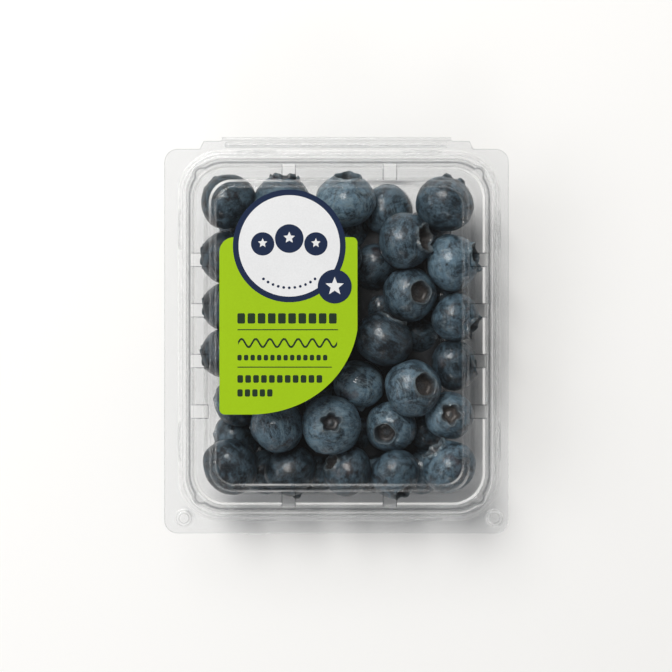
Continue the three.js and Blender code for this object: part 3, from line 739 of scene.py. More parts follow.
def clear_sheet_material(pack):
    """Clear formed plastic: part thin film and part glass, with painted white highlights and painted dark
    shade along its folds.
    """
    recipe = Recipe("formed_clear_plastic")
    recipe.bump(recipe.noise(30.0, detail=0.0), 0.015, 0.0004)
    rough = recipe.spread(recipe.noise(24.0, detail=2.0), 0.3, 0.75, 0.02, 0.05)
    clear = {"IOR": 1.45, "Transmission_Weight": 1 - pack.haze}
    recipe.finish(Base_Color=tuple(pack.tint), Roughness=rough, **clear)
    film, lit = recipe.plain("Transparent", tuple(pack.tint)), recipe.plain("Transparent", LIT_SHEET)
    facing = recipe.node("ShaderNodeLayerWeight", {"Blend": 0.5}).outputs["Facing"]
    thin = recipe.spread(facing, 0.55, 0.85, pack.thin, 0.94)
    thin = recipe.sum("MAXIMUM", thin, recipe.attribute("drawn"))
    seen = recipe.mixed(thin, recipe.shader.outputs[0], film)
    # The folds get a painted white highlight or a painted dark shade, as strong as their attribute and the
    # setting say
    fold, most = recipe.attribute("fold"), 2.0
    for end, kind, shade in ((most, "Diffuse", PAINTED_FOLD_HIGHLIGHT), (-most, "Transparent", PAINTED_FOLD_SHADE)):
        painted_share = recipe.spread(fold, 0.0, end, 0.0, most * pack.creases)
        seen = recipe.mixed(painted_share, seen, recipe.plain(kind, shade))
    path = recipe.node("ShaderNodeLightPath").outputs
    lamps = recipe.sum("MAXIMUM", path["Is Shadow Ray"], path["Is Diffuse Ray"])
    set_socket(recipe.tree, recipe.output.inputs["Surface"], recipe.mixed(lamps, seen, lit))
    return recipe.material


def berry_material(settings):
    """Berry skin: nearly black blue under a pale bloom, blotched, streaked and rubbed off in places."""
    recipe = Recipe("bloomed_skin")
    part, added = recipe.part, recipe.added
    tone, pit, rim, bloomed = (recipe.attribute(name) for name in ("tone", "pit", "rim", "bloomed"))
    shift = recipe.vector("SCALE", (37.0, 91.0, 53.0), Scale=tone)
    own = recipe.vector("ADD", recipe.attribute("own", "Vector"), shift)

    def drawn_out(scale, turn):
        inputs = {"Vector": own, "Scale": scale, "Rotation": turn}
        return recipe.node("ShaderNodeMapping", inputs).outputs[0]

    patches = recipe.noise(2.1, detail=5.0, roughness=0.62, distortion=0.9, place=own)
    along, across = drawn_out((1.0, 1.2, 3.6), (0.5, 0.3, 0.0)), drawn_out((7.0, 1.0, 1.6), (0.0, 0.4, 0.9))
    strokes = recipe.noise(2.6, detail=5.0, roughness=0.7, distortion=0.5, place=along)
    scratches = recipe.noise(3.0, detail=3.0, roughness=0.6, place=across)
    grain = recipe.noise(17.0, detail=3.0, roughness=0.65, place=own)
    rubbed = recipe.spread(recipe.noise(1.3, detail=4.0, distortion=1.6, place=own), 0.53, 0.62, 0.0, 0.75)
    cover = added(part(patches, 0.55), part(strokes, 0.45), part(grain, 0.3, 0.5), part(bloomed, 0.08, 0.5))
    amount = recipe.spread(cover, 0.39, 0.6, 0.0, 1.0)
    amount = recipe.sum("MULTIPLY", amount, recipe.sum("SUBTRACT", 1.0, rubbed))
    colour = recipe.blend(amount, tuple(settings.skin), tuple(settings.bloom))
    streaks = added(part(scratches, 0.6), part(patches, 0.4), part(bloomed, 0.12, 0.5))
    colour = recipe.blend(recipe.spread(streaks, 0.53, 0.63, 0.0, 0.5), colour, PALE_BLOOM)
    red = recipe.spread(recipe.noise(0.9, detail=2.0, place=own), 0.64, 0.72, 0.0, 0.5)
    colour = recipe.blend(red, colour, RED_SKIN)
    colour = recipe.vector("SCALE", colour, Scale=recipe.spread(bloomed, 0.0, 1.0, 0.52, 1.5))
    colour = recipe.blend(recipe.sum("MULTIPLY", rim, 0.5), colour, DRY_RIM)
    brown = recipe.spread(added(grain, part(tone, 0.3, 0.5)), 0.4, 0.7)
    colour = recipe.blend(pit, colour, recipe.blend(brown, DARK_PIT, tuple(settings.pit)))
    recipe.bump(added(part(grain, 0.5), part(strokes, 0.8), part(patches, 0.5)), 0.6, 0.0004)
    rough = recipe.spread(added(amount, part(grain, 0.6, 0.5)), 0.0, 1.0, 0.36, 0.6)
    gloss = {"Specular_IOR_Level": 0.25, "Coat_Weight": 0.5, "Coat_Roughness": 0.11}
    return recipe.finish(Base_Color=colour, Roughness=rough, **gloss)


def core_material(settings):
    """The shaded inside of the heap: skin with hardly any bloom."""
    recipe = Recipe("heap_shade")
    colour = recipe.blend(recipe.noise(200.0), SHADED_SKIN, tuple(settings.skin))
    recipe.bump(recipe.noise(300.0), 0.4, 0.0005)
    return recipe.finish(Base_Color=colour, Roughness=0.7)


def darker(colour, share):
    """A colour times a share below 1."""
    return tuple(c * share for c in colour[:3]) + (1.0,)


def printed_material(name, colour):
    """Printed label paper: a flat print with a faint grain, slightly uneven ink and a satin face."""
    recipe = Recipe(name)
    grain = recipe.noise(2600.0, detail=2.0)
    uneven = recipe.added(recipe.part(grain, 0.6), recipe.part(recipe.noise(60.0), 0.4))
    ink = recipe.spread(uneven, 0.3, 0.7)
    recipe.bump(grain, 0.08, 0.00005)
    look = {"Roughness": recipe.spread(grain, 0.3, 0.7, 0.42, 0.52), "Specular_IOR_Level": 0.2}
    return recipe.finish(Base_Color=recipe.blend(ink, darker(colour, 0.9), tuple(colour)), **look)


def floor_material(stage):
    """A plain pale floor with a hardly visible grain."""
    recipe = Recipe("pale_floor")
    colour = recipe.blend(recipe.noise(9.0), darker(stage.floor, 0.985), tuple(stage.floor))
    return recipe.finish(Base_Color=colour, Roughness=0.75)


# ---- pieces of the pack ----


def tray_piece(pack):
    """The tray: flange, hollow bead round the mouth, a narrow seat and the pocket, with its small pips."""
    path = [grown(BEAD[0], MARGIN, TRAY_TOP), *BEAD, *MOUTH, POCKET_FOOT]
    path = rounded(path, pack.fillet / MM, TRAY_FOLD_LIGHTS)[:-1]
    # The pocket's wall gets a faint painted shade, and its foot a painted highlight
    for a, b in ((MOUTH[1], POCKET_FOOT), (POCKET_FOOT, MOUTH[1])):
        path.append(toward(a, b, WALL_END) + (WALL_PAINTED_SHADE,))
    for step in range(FOOT_STEPS + 1):
        angle = step / FOOT_STEPS * math.pi / 2
        inset, drop = FOOT_BEND * (1 - math.cos(angle)), FOOT_BEND * math.sin(angle)
        ring = grown(POCKET_FOOT, -inset, POCKET_FOOT[3] - drop)
        path.append(ring + (FOOT_PAINTED_HIGHLIGHT * math.sin(2 * angle),))
    path.append(grown(POCKET_FLOOR, -FLOOR_FLAT, POCKET_FLOOR[3]) + (0.0,))
    path = split(path, TRAY_RINGS)

    def push(point, column):
        return push_pips(point, **TRAY_PIP)

    forms = [form(path, columns([-20, 20], [-15, 15]), push=push)]
    forms += [*button_forms(*TRAY_BUTTON), rib_form(TRAY_TOP, -HINGE_RIB["rise"])]
    return formed_sheet("tray_shell", TRAY_TOP, forms, pack.sheet / MM)


def button_forms(radius, foot, top):
    """The two round studs on the flange, near its front corners."""
    steps = BUTTON["steps"]
    shape = [("corner", quarter, step / steps) for quarter in range(4) for step in range(steps)]
    sizes = [(radius + BUTTON["flare"], foot), (radius, foot)]
    sizes += [(radius - BUTTON["taper"], top), (radius * BUTTON["flat"], top)]
    path = rounded([(r, r, r, z) for r, z in sizes], BUTTON["fillet"], BUTTON_FOLD_LIGHTS)
    return [form(path, shape, centre=(RING_X + side * BUTTON["x"], BUTTON["y"])) for side in (-1, 1)]


def rib_form(foot, rise):
    """A low rib along the hinge leaf."""
    shape = [("corner", quarter, step / 6) for quarter in range(4) for step in range(7 - quarter % 2)]
    path = [(HINGE_RIB["half"] + r, r, r, foot + rise * z, fold) for r, z, fold in RIB_ROWS]
    return form(path, shape, centre=(0.0, HINGE_RIB["y"]))


def snap_places(middle):
    """Where along a side the columns of its two snaps stand."""
    offsets = [-step for step in reversed(SNAP_STEPS)] + [0.0, *SNAP_STEPS]
    return [side * (middle + offset) for side in (-1, 1) for offset in offsets]


def vent_places(middles):
    """Where along a side the columns at and just beside its openings' edges stand."""
    reaches = (VENT["width"] / 2, VENT["width"] / 2 + VENT["edge"])
    return [middle + side * reach for middle in middles for side in (-1, 1) for reach in reaches]


def lid_piece(pack):
    """The lid: flange, raised rim with its snaps, a vented ledge and the dome."""
    path = [grown(RIM[0], MARGIN, LID_TOP), *RIM, *STEP, *DOME, grown(DOME[-1], -DOME_FLAT, DOME_TOP)]
    path = split(rounded(path, pack.fillet / MM, LID_FOLD_LIGHTS), LID_RINGS)

    def push(point, column):
        return push_snaps(push_pips(point, **LID_PIP), column)

    sides = snap_places(SNAP["side"]) + vent_places(VENT_SIDES)
    ends = snap_places(SNAP["end"]) + vent_places(VENT_ENDS)
    forms = [form(path, columns(sides, ends), push=push, is_open=is_vent)]
    forms += [*button_forms(*LID_BUTTON), rib_form(LID_TOP, HINGE_RIB["rise"])]
    return formed_sheet("lid_shell", LID_TOP, forms, pack.sheet / MM)


def hinge_piece(pack):
    """The living hinge: a thin strip curled from one leaf's back edge to the other's."""
    mesh = sheet_mesh()
    half = FILM["thin"] * pack.sheet / MM
    section = []
    for reach in (FILM["radius"] + half, FILM["radius"] - half):
        bend = arc(FILM["axis"], FILM["z"], reach, -math.pi / 2, math.pi / 2, FILM["steps"])
        section.append([(FILM["end"], bend[0][1]), *bend, (FILM["end"], bend[-1][1])])
    rows = []
    for part in range(FILM["parts"] + 1):
        x = (2 * part / FILM["parts"] - 1) * LEAF["half"]
        rows.append([[mesh.verts.new((x * MM, y * MM, z * MM)) for y, z in side] for side in section])
    last = len(section[0]) - 1
    for a, b in zip(rows, rows[1:]):
        for i in range(last):
            mesh.faces.new((a[0][i], b[0][i], b[0][i + 1], a[0][i + 1]))
            mesh.faces.new((a[1][i + 1], b[1][i + 1], b[1][i], a[1][i]))
        mesh.faces.new((a[1][0], b[1][0], b[0][0], a[0][0]))
        mesh.faces.new((a[0][last], b[0][last], b[1][last], a[1][last]))
    for i in range(last):
        for row in (rows[0], rows[-1]):
            mesh.faces.new((row[0][i], row[0][i + 1], row[1][i + 1], row[1][i]))
    return finished("hinge_strip", mesh)


# ---- berries ----


def chance(seed):
    """A repeatable sequence of numbers between 0 and 1."""
    state = seed
    while True:
        state = (state * 16807) % 2147483647
        yield state / 2147483647


def loose_berries():
    """The berries before they settle, those of the top layer first."""
    berries = []
    for x, y, z, diameter, plan, tilt, crown, bloomed in TOP_BERRIES:
        kind, turn = "abcd".index(crown), (0.0, math.radians(tilt), math.radians(plan))
        made = {"at": [x, y, z], "home": (x, y, z), "radius": diameter / 2}
        berries.append({**made, "turn": turn, "kind": kind, "bloomed": bloomed})
    for i, (x, y, diameter) in enumerate(LOW_BERRIES):
        turn = (0.0, math.radians(40 + 83 * i % 130), math.radians(137 * i % 360))
        made = {"at": [x, y, LOW_Z], "home": None, "radius": diameter / 2}
        berries.append({**made, "turn": turn, "kind": len(CROWN_KINDS), "bloomed": LOW_BLOOM})
    return berries


def draw_home(berry):
    """A berry of the top layer is drawn back to its place, and one of the low layer sinks."""
    if not berry["home"]:
        berry["at"][2] -= SINK
        return
    berry["at"] = [p + (h - p) * HOLD for p, h in zip(berry["at"], berry["home"])]


def push_apart(a, b):
    """Two berries that overlap too much are each pushed half of the way out."""
    gap = [q - p for p, q in zip(a["at"], b["at"])]
    distance = math.sqrt(gap[0] ** 2 + gap[1] ** 2 + gap[2] ** 2)
    overlap = (a["radius"] + b["radius"]) * TOUCH - distance
    if overlap <= 0 or distance == 0:
        return
    push = 0.5 * overlap / distance
    for axis in range(3):
        a["at"][axis] -= gap[axis] * push
        b["at"][axis] += gap[axis] * push


def keep_inside(berry):
    """A berry stays inside the pocket, under the headspace and clear of the edge of the lid's ledge."""
    reach = berry["radius"] + BERRY_GAP
    x, y, z = berry["at"]
    z = min(max(z, POCKET_FLOOR[3] + reach), HEAP_TOP - berry["radius"])
    foot = POCKET_FOOT[3]
    share = max(0, min((z - foot) / (SEAT - foot), 1))
    limit_x = POCKET_FOOT[0] + (MOUTH[1][0] - POCKET_FOOT[0]) * share - reach
    limit_y = POCKET_FOOT[1] + (MOUTH[1][1] - POCKET_FOOT[1]) * share - reach
    x = RING_X + max(-limit_x, min(limit_x, x - RING_X))
    y = max(-limit_y, min(limit_y, y))
    under = LEDGE - POCKET_FLOOR[3]
    nearest = min(DOME[0][0] - POCKET_FLOOR[3] - abs(x - RING_X), DOME[0][1] - POCKET_FLOOR[3] - abs(y))
    short = reach ** 2 - nearest ** 2
    if short > 0:
        z = min(z, under - math.sqrt(short))
    berry["at"] = [x, y, z]


def settled_berries():
    """The berries after they have settled against each other and the pack."""
    berries = loose_berries()
    for step in range(SETTLE_STEPS):
        if step < SETTLE_STEPS - CALM_STEPS:
            for berry in berries:
                draw_home(berry)
        for i, a in enumerate(berries):
            for b in berries[i + 1:]:
                push_apart(a, b)
        for berry in berries:
            keep_inside(berry)
    return berries


def crown_rows(kind, star):
    """Radius, height, pit share and rim share of each ring of the crown in one direction."""
    tip = kind["notch"] + (kind["tip"] - kind["notch"]) * star
    top = kind["low"] + (kind["rise"] - kind["low"]) * star
    pit, floor = kind["pit"] * (0.9 + 0.1 * star), kind["floor"]
    shoulder = [(0.66, 0.685, 0.0, 0.0), (0.585, 0.742, 0.0, 0.0), (0.52, 0.772, 0.0, 0.05)]
    shoulder.append((max(0.475, tip + 0.05), 0.785 + 0.01 * star, 0.0, 0.2))
    lobe = [
        (tip + 0.035, 0.5 * (top + 0.79), 0.0, 0.6), (tip + 0.018, top - 0.012, 0.0, 1.0),
        (tip - 0.002, top, 0.05, 1.0), (tip - 0.022, top - 0.014, 0.25, 0.8),
    ]
    hollow = [
        (0.5 * (tip + pit), 0.5 * (top + floor) + 0.05, 0.7, 0.2), (pit, floor + 0.045, 1.0, 0.0),
        (pit * 0.84, floor + 0.005, 1.0, 0.0), (pit * 0.5, floor, 1.0, 0.0),
        (pit * 0.3, floor + 0.012, 0.9, 0.0), (pit * 0.12, floor + 0.018, 0.8, 0.0),
    ]
    return shoulder + lobe + hollow


def berry_rows(kind, sides, draw):
    """Each ring of a berry, from the stem end to the crown's hollow, in every direction."""
    lobes = [1 + kind["ragged"] * 4 * (next(draw) - 0.5) for _ in range(5)]
    rows = []
    for row in range(1, BODY["rings"]):
        angle = -math.pi / 2 + row / BODY["rings"] * (math.pi / 2 + BODY["end"])
        radius, height = math.cos(angle) ** BODY["round"], BODY["tall"] * math.sin(angle)
        dimple = BODY["dimple"] * math.exp(-((radius / BODY["dimple_reach"]) ** 2))
        rows.append([(radius, height + dimple, 0.0, 0.0)] * sides)
    crown = []
    for side in range(sides):
        turn = side / sides * 5
        crown.append(crown_rows(kind, abs(math.cos(turn * math.pi)) ** 1.3 * lobes[round(turn) % 5]))
    return rows + [list(row) for row in zip(*crown)]


def berry_template(name, kind, sides, seed):
    """A berry of radius 1 whose crown points up, its five-pointed rim round a hollow."""
    mesh = bmesh.new()
    pit, rim = (mesh.verts.layers.float.new(layer) for layer in ("pit", "rim"))
    own = mesh.verts.layers.float_vector.new("own")
    shifts = (Vector((seed, 0, 0)), Vector((0, 0, seed)))
    grid = []
    for row in berry_rows(kind, sides, chance(seed)):
        line = []
        for side, (radius, height, in_pit, on_rim) in enumerate(row):
            angle = 2 * math.pi * side / sides
            point = Vector((radius * math.cos(angle), radius * math.sin(angle), height))
            lump = sum(noise.noise(point * waves + at) * high for (waves, high), at in zip(LUMPS, shifts))
            torn = noise.noise(point * TORN + Vector((0, seed, 0))) * kind["ragged"]
            torn *= 0.5 * (on_rim + 0.3 * in_pit)
            vert = mesh.verts.new(point * (1 + lump) + Vector((0, 0, torn)))
            vert[pit], vert[rim], vert[own] = in_pit, on_rim, point
            line.append(vert)
        grid.append(line)
    for a, b in zip(grid, grid[1:]):
        for side in range(sides):
            after = (side + 1) % sides
            mesh.faces.new((a[side], a[after], b[after], b[side]))
    for line, height, in_pit in ((grid[0], STEM_END, 0.0), (grid[-1], kind["floor"] + 0.02, 0.8)):
        middle = mesh.verts.new((0, 0, height))
        middle[pit], middle[own] = in_pit, middle.co
        for side in range(sides):
            mesh.faces.new((line[side], line[(side + 1) % sides], middle))
    return finished(name, mesh, sharp=80.0)


def berry_places(berries):
    """A mesh of loose points, one for each berry, with its kind, turn, size and bloom."""
    data = bpy.data.meshes.new("berry_places")
    data.from_pydata([[p * MM for p in berry["at"]] for berry in berries], [], [])
    layers = (
        ("kind", "INT", "value", [berry["kind"] for berry in berries]),
        ("turn", "FLOAT_VECTOR", "vector", [angle for berry in berries for angle in berry["turn"]]),
        ("size", "FLOAT", "value", [berry["radius"] * MM for berry in berries]),
        ("bloomed", "FLOAT", "value", [berry["bloomed"] for berry in berries]),
    )
    for name, kind, field, values in layers:
        data.attributes.new(name, kind, "POINT").data.foreach_set(field, values)
    return placed("berry_places", data)


def heap_tree(templates, skin):
    """Geometry Nodes that set a berry on each point and make each one a little uneven."""
    tree = bpy.data.node_groups.new("berry_heap", "GeometryNodeTree")
    face = tree.interface
    face.new_socket("Geometry", in_out="INPUT", socket_type="NodeSocketGeometry")
    sockets = {
        "size": face.new_socket("Berry size", in_out="INPUT", socket_type="NodeSocketFloat"),
        "seed": face.new_socket("Seed", in_out="INPUT", socket_type="NodeSocketInt"),
        "lumps": face.new_socket("Lump height", in_out="INPUT", socket_type="NodeSocketFloat"),
    }
    face.new_socket("Geometry", in_out="OUTPUT", socket_type="NodeSocketGeometry")

    def node(kind, inputs=None, **settings):
        return add_node(tree, kind, inputs, **settings)

    def named(name, kind):
        return node("GeometryNodeInputNamedAttribute", {"Name": name}, data_type=kind).outputs[0]

    def changed(geometry, kind, inputs=None, **settings):
        return node("GeometryNode" + kind, {"Geometry": geometry, **(inputs or {})}, **settings).outputs[0]

    start = node("NodeGroupInput").outputs
    shapes = node("GeometryNodeCollectionInfo", {"Collection": templates, "Separate Children": True})
    size = node("ShaderNodeMath", {0: named("size", "FLOAT"), 1: start["Berry size"]}, operation="MULTIPLY")
    turn = node("FunctionNodeEulerToRotation", {0: named("turn", "FLOAT_VECTOR")})
    set_out = node("GeometryNodeInstanceOnPoints", {
        "Points": start["Geometry"], "Instance": shapes.outputs[0], "Pick Instance": True,
        "Instance Index": named("kind", "INT"), "Rotation": turn.outputs[0], "Scale": size.outputs[0],
    })
    tone = node("FunctionNodeRandomValue", {"Seed": start["Seed"]}, data_type="FLOAT")
    mark = {"Name": "tone", "Value": tone.outputs[1]}
    heap = changed(set_out.outputs[0], "StoreNamedAttribute", mark, data_type="FLOAT", domain="INSTANCE")
    heap = changed(heap, "RealizeInstances")
    lumps = node("ShaderNodeTexNoise", {"Scale": 95.0, "Detail": 1.5}, noise_dimensions="3D")
    centred = node(
        "ShaderNodeVectorMath", {0: lumps.outputs["Color"], 1: (0.5, 0.5, 0.5)}, operation="SUBTRACT"
    )
    shift = node(
        "ShaderNodeVectorMath", {0: centred.outputs[0], "Scale": start["Lump height"]}, operation="SCALE"
    )
    heap = changed(heap, "SetPosition", {"Offset": shift.outputs[0]})
    heap = changed(changed(heap, "SetShadeSmooth"), "SetMaterial", {"Material": skin})
    tree.links.new(heap, node("NodeGroupOutput").inputs[0])
    return tree, sockets


def heap_mesh(berries, settings):
    """The berries as one plain mesh, from the points and the templates."""
    templates = bpy.data.collections.new("berry_kinds")
    bpy.context.scene.collection.children.link(templates)
    made = []
    for i, (name, kind) in enumerate(CROWN_KINDS.items()):
        made.append(berry_template(name, kind, TEMPLATE["sides"], TEMPLATE["seed"] + i))
    made.append(berry_template("e_low", CROWN_KINDS["b_star"], TEMPLATE["low_sides"], TEMPLATE["low_seed"]))
    for shape in made:
        bpy.context.scene.collection.objects.unlink(shape)
        templates.objects.link(shape)
    skin = berry_material(settings)
    tree, sockets = heap_tree(templates, skin)
    places = berry_places(berries)
    modifier = places.modifiers.new("heap", "NODES")
    modifier.node_group = tree
    values = {"size": settings.size, "seed": settings.seed, "lumps": LUMP_HEIGHT}
    for key, value in values.items():
        modifier[sockets[key].identifier] = value
    evaluated = places.evaluated_get(bpy.context.evaluated_depsgraph_get())
    data = bpy.data.meshes.new_from_object(evaluated)
    data.name = "heap"
    bpy.data.objects.remove(places)
    for shape in made:
        bpy.data.objects.remove(shape)
    bpy.data.collections.remove(templates)
    bpy.data.node_groups.remove(tree)
    data.materials.clear()
    data.materials.append(skin)
    return data


def core_piece(settings):
    """A lumpy dark core in the middle of the heap, behind the berries that show."""
    mesh = bmesh.new()
    bmesh.ops.create_icosphere(mesh, subdivisions=4, radius=1.0)
    for vert in mesh.verts:
        x, y, z = vert.co
        square = (x ** 4 + y ** 4 + z ** 4) ** -0.25
        reach = square * (1 + CORE["lump"] * noise.noise(vert.co * CORE["lumps"]))
        x, y, z = CORE["x"] * x * reach, CORE["y"] * y * reach, CORE["z"] * z * reach
        vert.co = (MM * (RING_X + x), MM * y, MM * (CORE["middle"] + z))
    made = finished("core", mesh, sharp=180.0, turn=False)
    made.data.materials.append(core_material(settings))
    return made


def berries_piece(settings):
    """The heap and its core as one piece."""
    heap = placed("berries", heap_mesh(settled_berries(), settings))
    core = core_piece(settings)
    with bpy.context.temp_override(active_object=heap, selected_editable_objects=[heap, core]):
        bpy.ops.object.join()
    return heap


# ---- label ----


def circle(x, y, radius, sides=72):
    """A circle's outline."""
    return arc(x, y, radius, 0.0, 2 * math.pi, sides)[:-1]


def block(left, right, y, height, corner=0.45):
    """The outline of a block with rounded corners, from left to right."""
    half = min(corner, height / 2.01, (right - left) / 2.01)
    points = []
    for quarter in range(4):
        x = right - half if quarter < 2 else left + half
        up = 1 if quarter in (1, 2) else -1
        start = (quarter - 1) * math.pi / 2
        points += arc(x, y + up * (height / 2 - half), half, start, start + math.pi / 2, 6)
    return points


def star(x, y, outer, inner):
    """A five-pointed star that stands upright."""
    points = []
    for i in range(10):
        reach, angle = inner if i % 2 else outer, math.pi / 2 + i * math.pi / 5
        points.append((x + reach * math.cos(angle), y + reach * math.sin(angle)))
    return points


def panel_outline():
    """The panel's outline: the sweep at its foot, then its rounded corners."""
    left, right, top, bottom, corner, wide = PANEL.values()
    points = []
    for step in range(33):
        t = step / 32
        weights = [(1 - t) ** 3, 3 * t * (1 - t) ** 2, 3 * t * t * (1 - t), t ** 3]
        points.append(tuple(sum(w * p[axis] for w, p in zip(weights, SWEEP)) for axis in (0, 1)))
    quarter = math.pi / 2
    points += arc(right - corner, top - corner, corner, 0, quarter, 10)
    points += arc(left + wide, top - wide, wide, quarter, 2 * quarter, 10)
    points += arc(left + corner, bottom + corner, corner, 2 * quarter, 3 * quarter, 10)
    return points


def prism(mesh, outline, low, high, material, back=None):
    """A closed slab over an outline, anticlockwise, with another material below if one is named."""
    below, above = ([mesh.verts.new((x * MM, y * MM, z * MM)) for x, y in outline] for z in (low, high))
    faces = [mesh.faces.new(above), mesh.faces.new(reversed(below))]
    for i in range(len(outline)):
        j = (i + 1) % len(outline)
        faces.append(mesh.faces.new((below[i], below[j], above[j], above[i])))
    for face in faces:
        face.material_index = material
    if back is not None:
        faces[1].material_index = back


def wave(left, right, y, height, thickness, turns, steps):
    """A wavy line's outline, from left to right and back."""
    upper, lower = [], []
    for step in range(steps + 1):
        x, angle = left + (right - left) * step / steps, 2 * math.pi * turns * step / steps
        rise = height / 2 * math.sin(angle)
        thick = thickness / 2 * (0.45 + 0.55 * abs(math.cos(angle)))
        upper.append((x, y + rise + thick))
        lower.append((x, y + rise - thick))
    return lower + upper[::-1]


def printed_shapes():
    """The label's printed shapes over its panel: outline, layer and material, all generic."""
    x, y = BADGE["x"], BADGE["y"]
    shapes = [(circle(x, y, BADGE["radius"], 120), 1, NAVY), (circle(x, y, BADGE["inside"], 120), 2, PAPER)]
    for i in range(DOTS["count"]):
        angle = math.radians(DOTS["start"] + i * DOTS["step"])
        dot = (x + DOTS["reach"] * math.cos(angle), y + DOTS["reach"] * math.sin(angle), DOTS["radius"])
        shapes.append((circle(*dot, 20), 3, NAVY))
    for x, y, radius in SPOTS:
        shapes.append((circle(x, y, radius), 3, NAVY))
        shapes.append((star(x, y + 0.25, radius * 0.42, radius * 0.2), 4, PAPER))
    x, y = DISC["x"], DISC["y"]
    shapes += [(circle(x, y, DISC["radius"]), 5, NAVY), (star(x, y, DISC["star"], DISC["notch"]), 6, PAPER)]
    for count, step, width, y, height in BARS:
        for left in (BARS_LEFT + i * step for i in range(count)):
            shapes.append((block(left, left + width, y, height), 1, DARK))
    for right, y in LINES:
        shapes.append((block(BARS_LEFT, right, y, LINE), 1, DARK))
    shapes.append((wave(**WAVE), 1, DARK))
    return shapes


def label_piece(settings):
    """The label: a green panel, a badge with a plain motif, and plain bars where print would be."""
    mesh = bmesh.new()
    prism(mesh, panel_outline(), LABEL_FOOT, LABEL_TOP, GREEN, back=PAPER)
    backing = circle(BADGE["x"], BADGE["y"], BADGE["radius"] - INK, 120)
    prism(mesh, backing, LABEL_FOOT + INK, LABEL_TOP, PAPER)
    for outline, layer, material in printed_shapes():
        prism(mesh, outline, LABEL_FOOT + (2 + layer / 2) * INK, LABEL_TOP + layer * INK, material)
    made = finished("label_sheet", mesh, turn=False)
    inks = zip(
        ("print_green", "print_navy", "bare_paper", "print_dark"),
        (settings.panel, settings.badge, settings.paper, settings.print),
    )
    for name, colour in inks:
        made.data.materials.append(printed_material(name, colour))
    return made


# ---- operators ----


def dressed(made, body, node, material=None):
    """The piece rides on its body in place of its plain solid."""
    if not made.data.polygons:
        raise RuntimeError(made.name + " has no faces")
    if material:
        made.data.materials.append(material)
    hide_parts(node)
    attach(made, body)


def clear_material(scene):
    """The clear sheet's material, made once for the tray, the lid and the hinge."""
    return bpy.data.materials.get("formed_clear_plastic") or clear_sheet_material(scene.punnet_pack)


class PUNNET_OT_tray(bpy.types.Operator):
    """Make the clear tray in place of its plain solid"""

    bl_idname = "punnet.tray"
    bl_label = "Tray"

    def execute(self, context):
        made = tray_piece(context.scene.punnet_pack)
        dressed(made, "base", "tray", clear_material(context.scene))
        return {"FINISHED"}


class PUNNET_OT_lid(bpy.types.Operator):
    """Make the clear domed lid in place of its plain solid"""

    bl_idname = "punnet.lid"
    bl_label = "Lid"

    def execute(self, context):
        made = lid_piece(context.scene.punnet_pack)
        dressed(made, "cover", "lid", clear_material(context.scene))
        return {"FINISHED"}


class PUNNET_OT_hinge(bpy.types.Operator):
    """Make the living hinge that bends between the tray and the lid"""

    bl_idname = "punnet.hinge"
    bl_label = "Hinge strip"

    def execute(self, context):
        made = hinge_piece(context.scene.punnet_pack)
        made.data.materials.append(clear_material(context.scene))
        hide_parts("hinge_film")
        low, high = FILM["z"] - FILM["radius"], FILM["z"] + FILM["radius"]
        y = FILM["axis"] * MM
        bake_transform(made, "cover", "base", start=(0, y, high * MM), end=(0, y, low * MM))
        return {"FINISHED"}


class PUNNET_OT_berries(bpy.types.Operator):
    """Make the heap of berries with their crowns and bloom"""

    bl_idname = "punnet.berries"
    bl_label = "Berries"

    def execute(self, context):
        made = berries_piece(context.scene.punnet_berries)
        dressed(made, "base", "blueberries")
        return {"FINISHED"}


class PUNNET_OT_label(bpy.types.Operator):
    """Make the printed label on the lid"""

    bl_idname = "punnet.label"
    bl_label = "Label"

    def execute(self, context):
        dressed(label_piece(context.scene.punnet_label), "cover", "label")
        return {"FINISHED"}


# The soft lights: place, size, share of the key light's power and colour
LIGHTS = {
    "key_light": ((-0.34, 0.66, 1.15), (0.62, 0.62), 1.0, (1.0, 0.98, 0.945)),
    "side_light": ((-1.1, -0.1, 0.75), (1.0, 0.35), 0.22, (1.0, 1.0, 1.0)),
    "front_light": ((-0.2, -1.2, 0.8), (0.6, 0.3), 0.12, (1.0, 1.0, 1.0)),
}
AIM = Vector((0, 0, 0.02))
BRIGHT_SIDE = (-0.75, 0.66, 0.0)
# How bright the surroundings are from the horizon up to overhead, and their faint tint
SKY = [(0.0, 1.0), (0.45, 0.95), (0.8, 0.35), (0.97, 0.12)]
SKY_TINT = (0.985, 0.995, 1.0)
FLOOR_HALF = 8.0
FLOOR_DROP = 0.0001
# The camera's place over the pack and its film's width in millimetres, and its view at the flange in metres
CAMERA = (-0.15, -0.09)
FILM_WIDTH = 36.0
VIEW_WIDTH = 0.20328
FARTHEST = 100.0
BOUNCES = {"max_bounces": 24, "transmission_bounces": 24, "transparent_max_bounces": 32}


def soft_light(name, place, size, power, colour):
    """A soft light of that width and height that shines on the punnet."""
    data = bpy.data.lights.new(name, "AREA")
    data.shape, data.energy, data.color = "RECTANGLE", power, colour
    data.size, data.size_y = size
    made = placed(name, data)
    made.location = place
    made.rotation_euler = (AIM - Vector(place)).to_track_quat("-Z", "Y").to_euler()


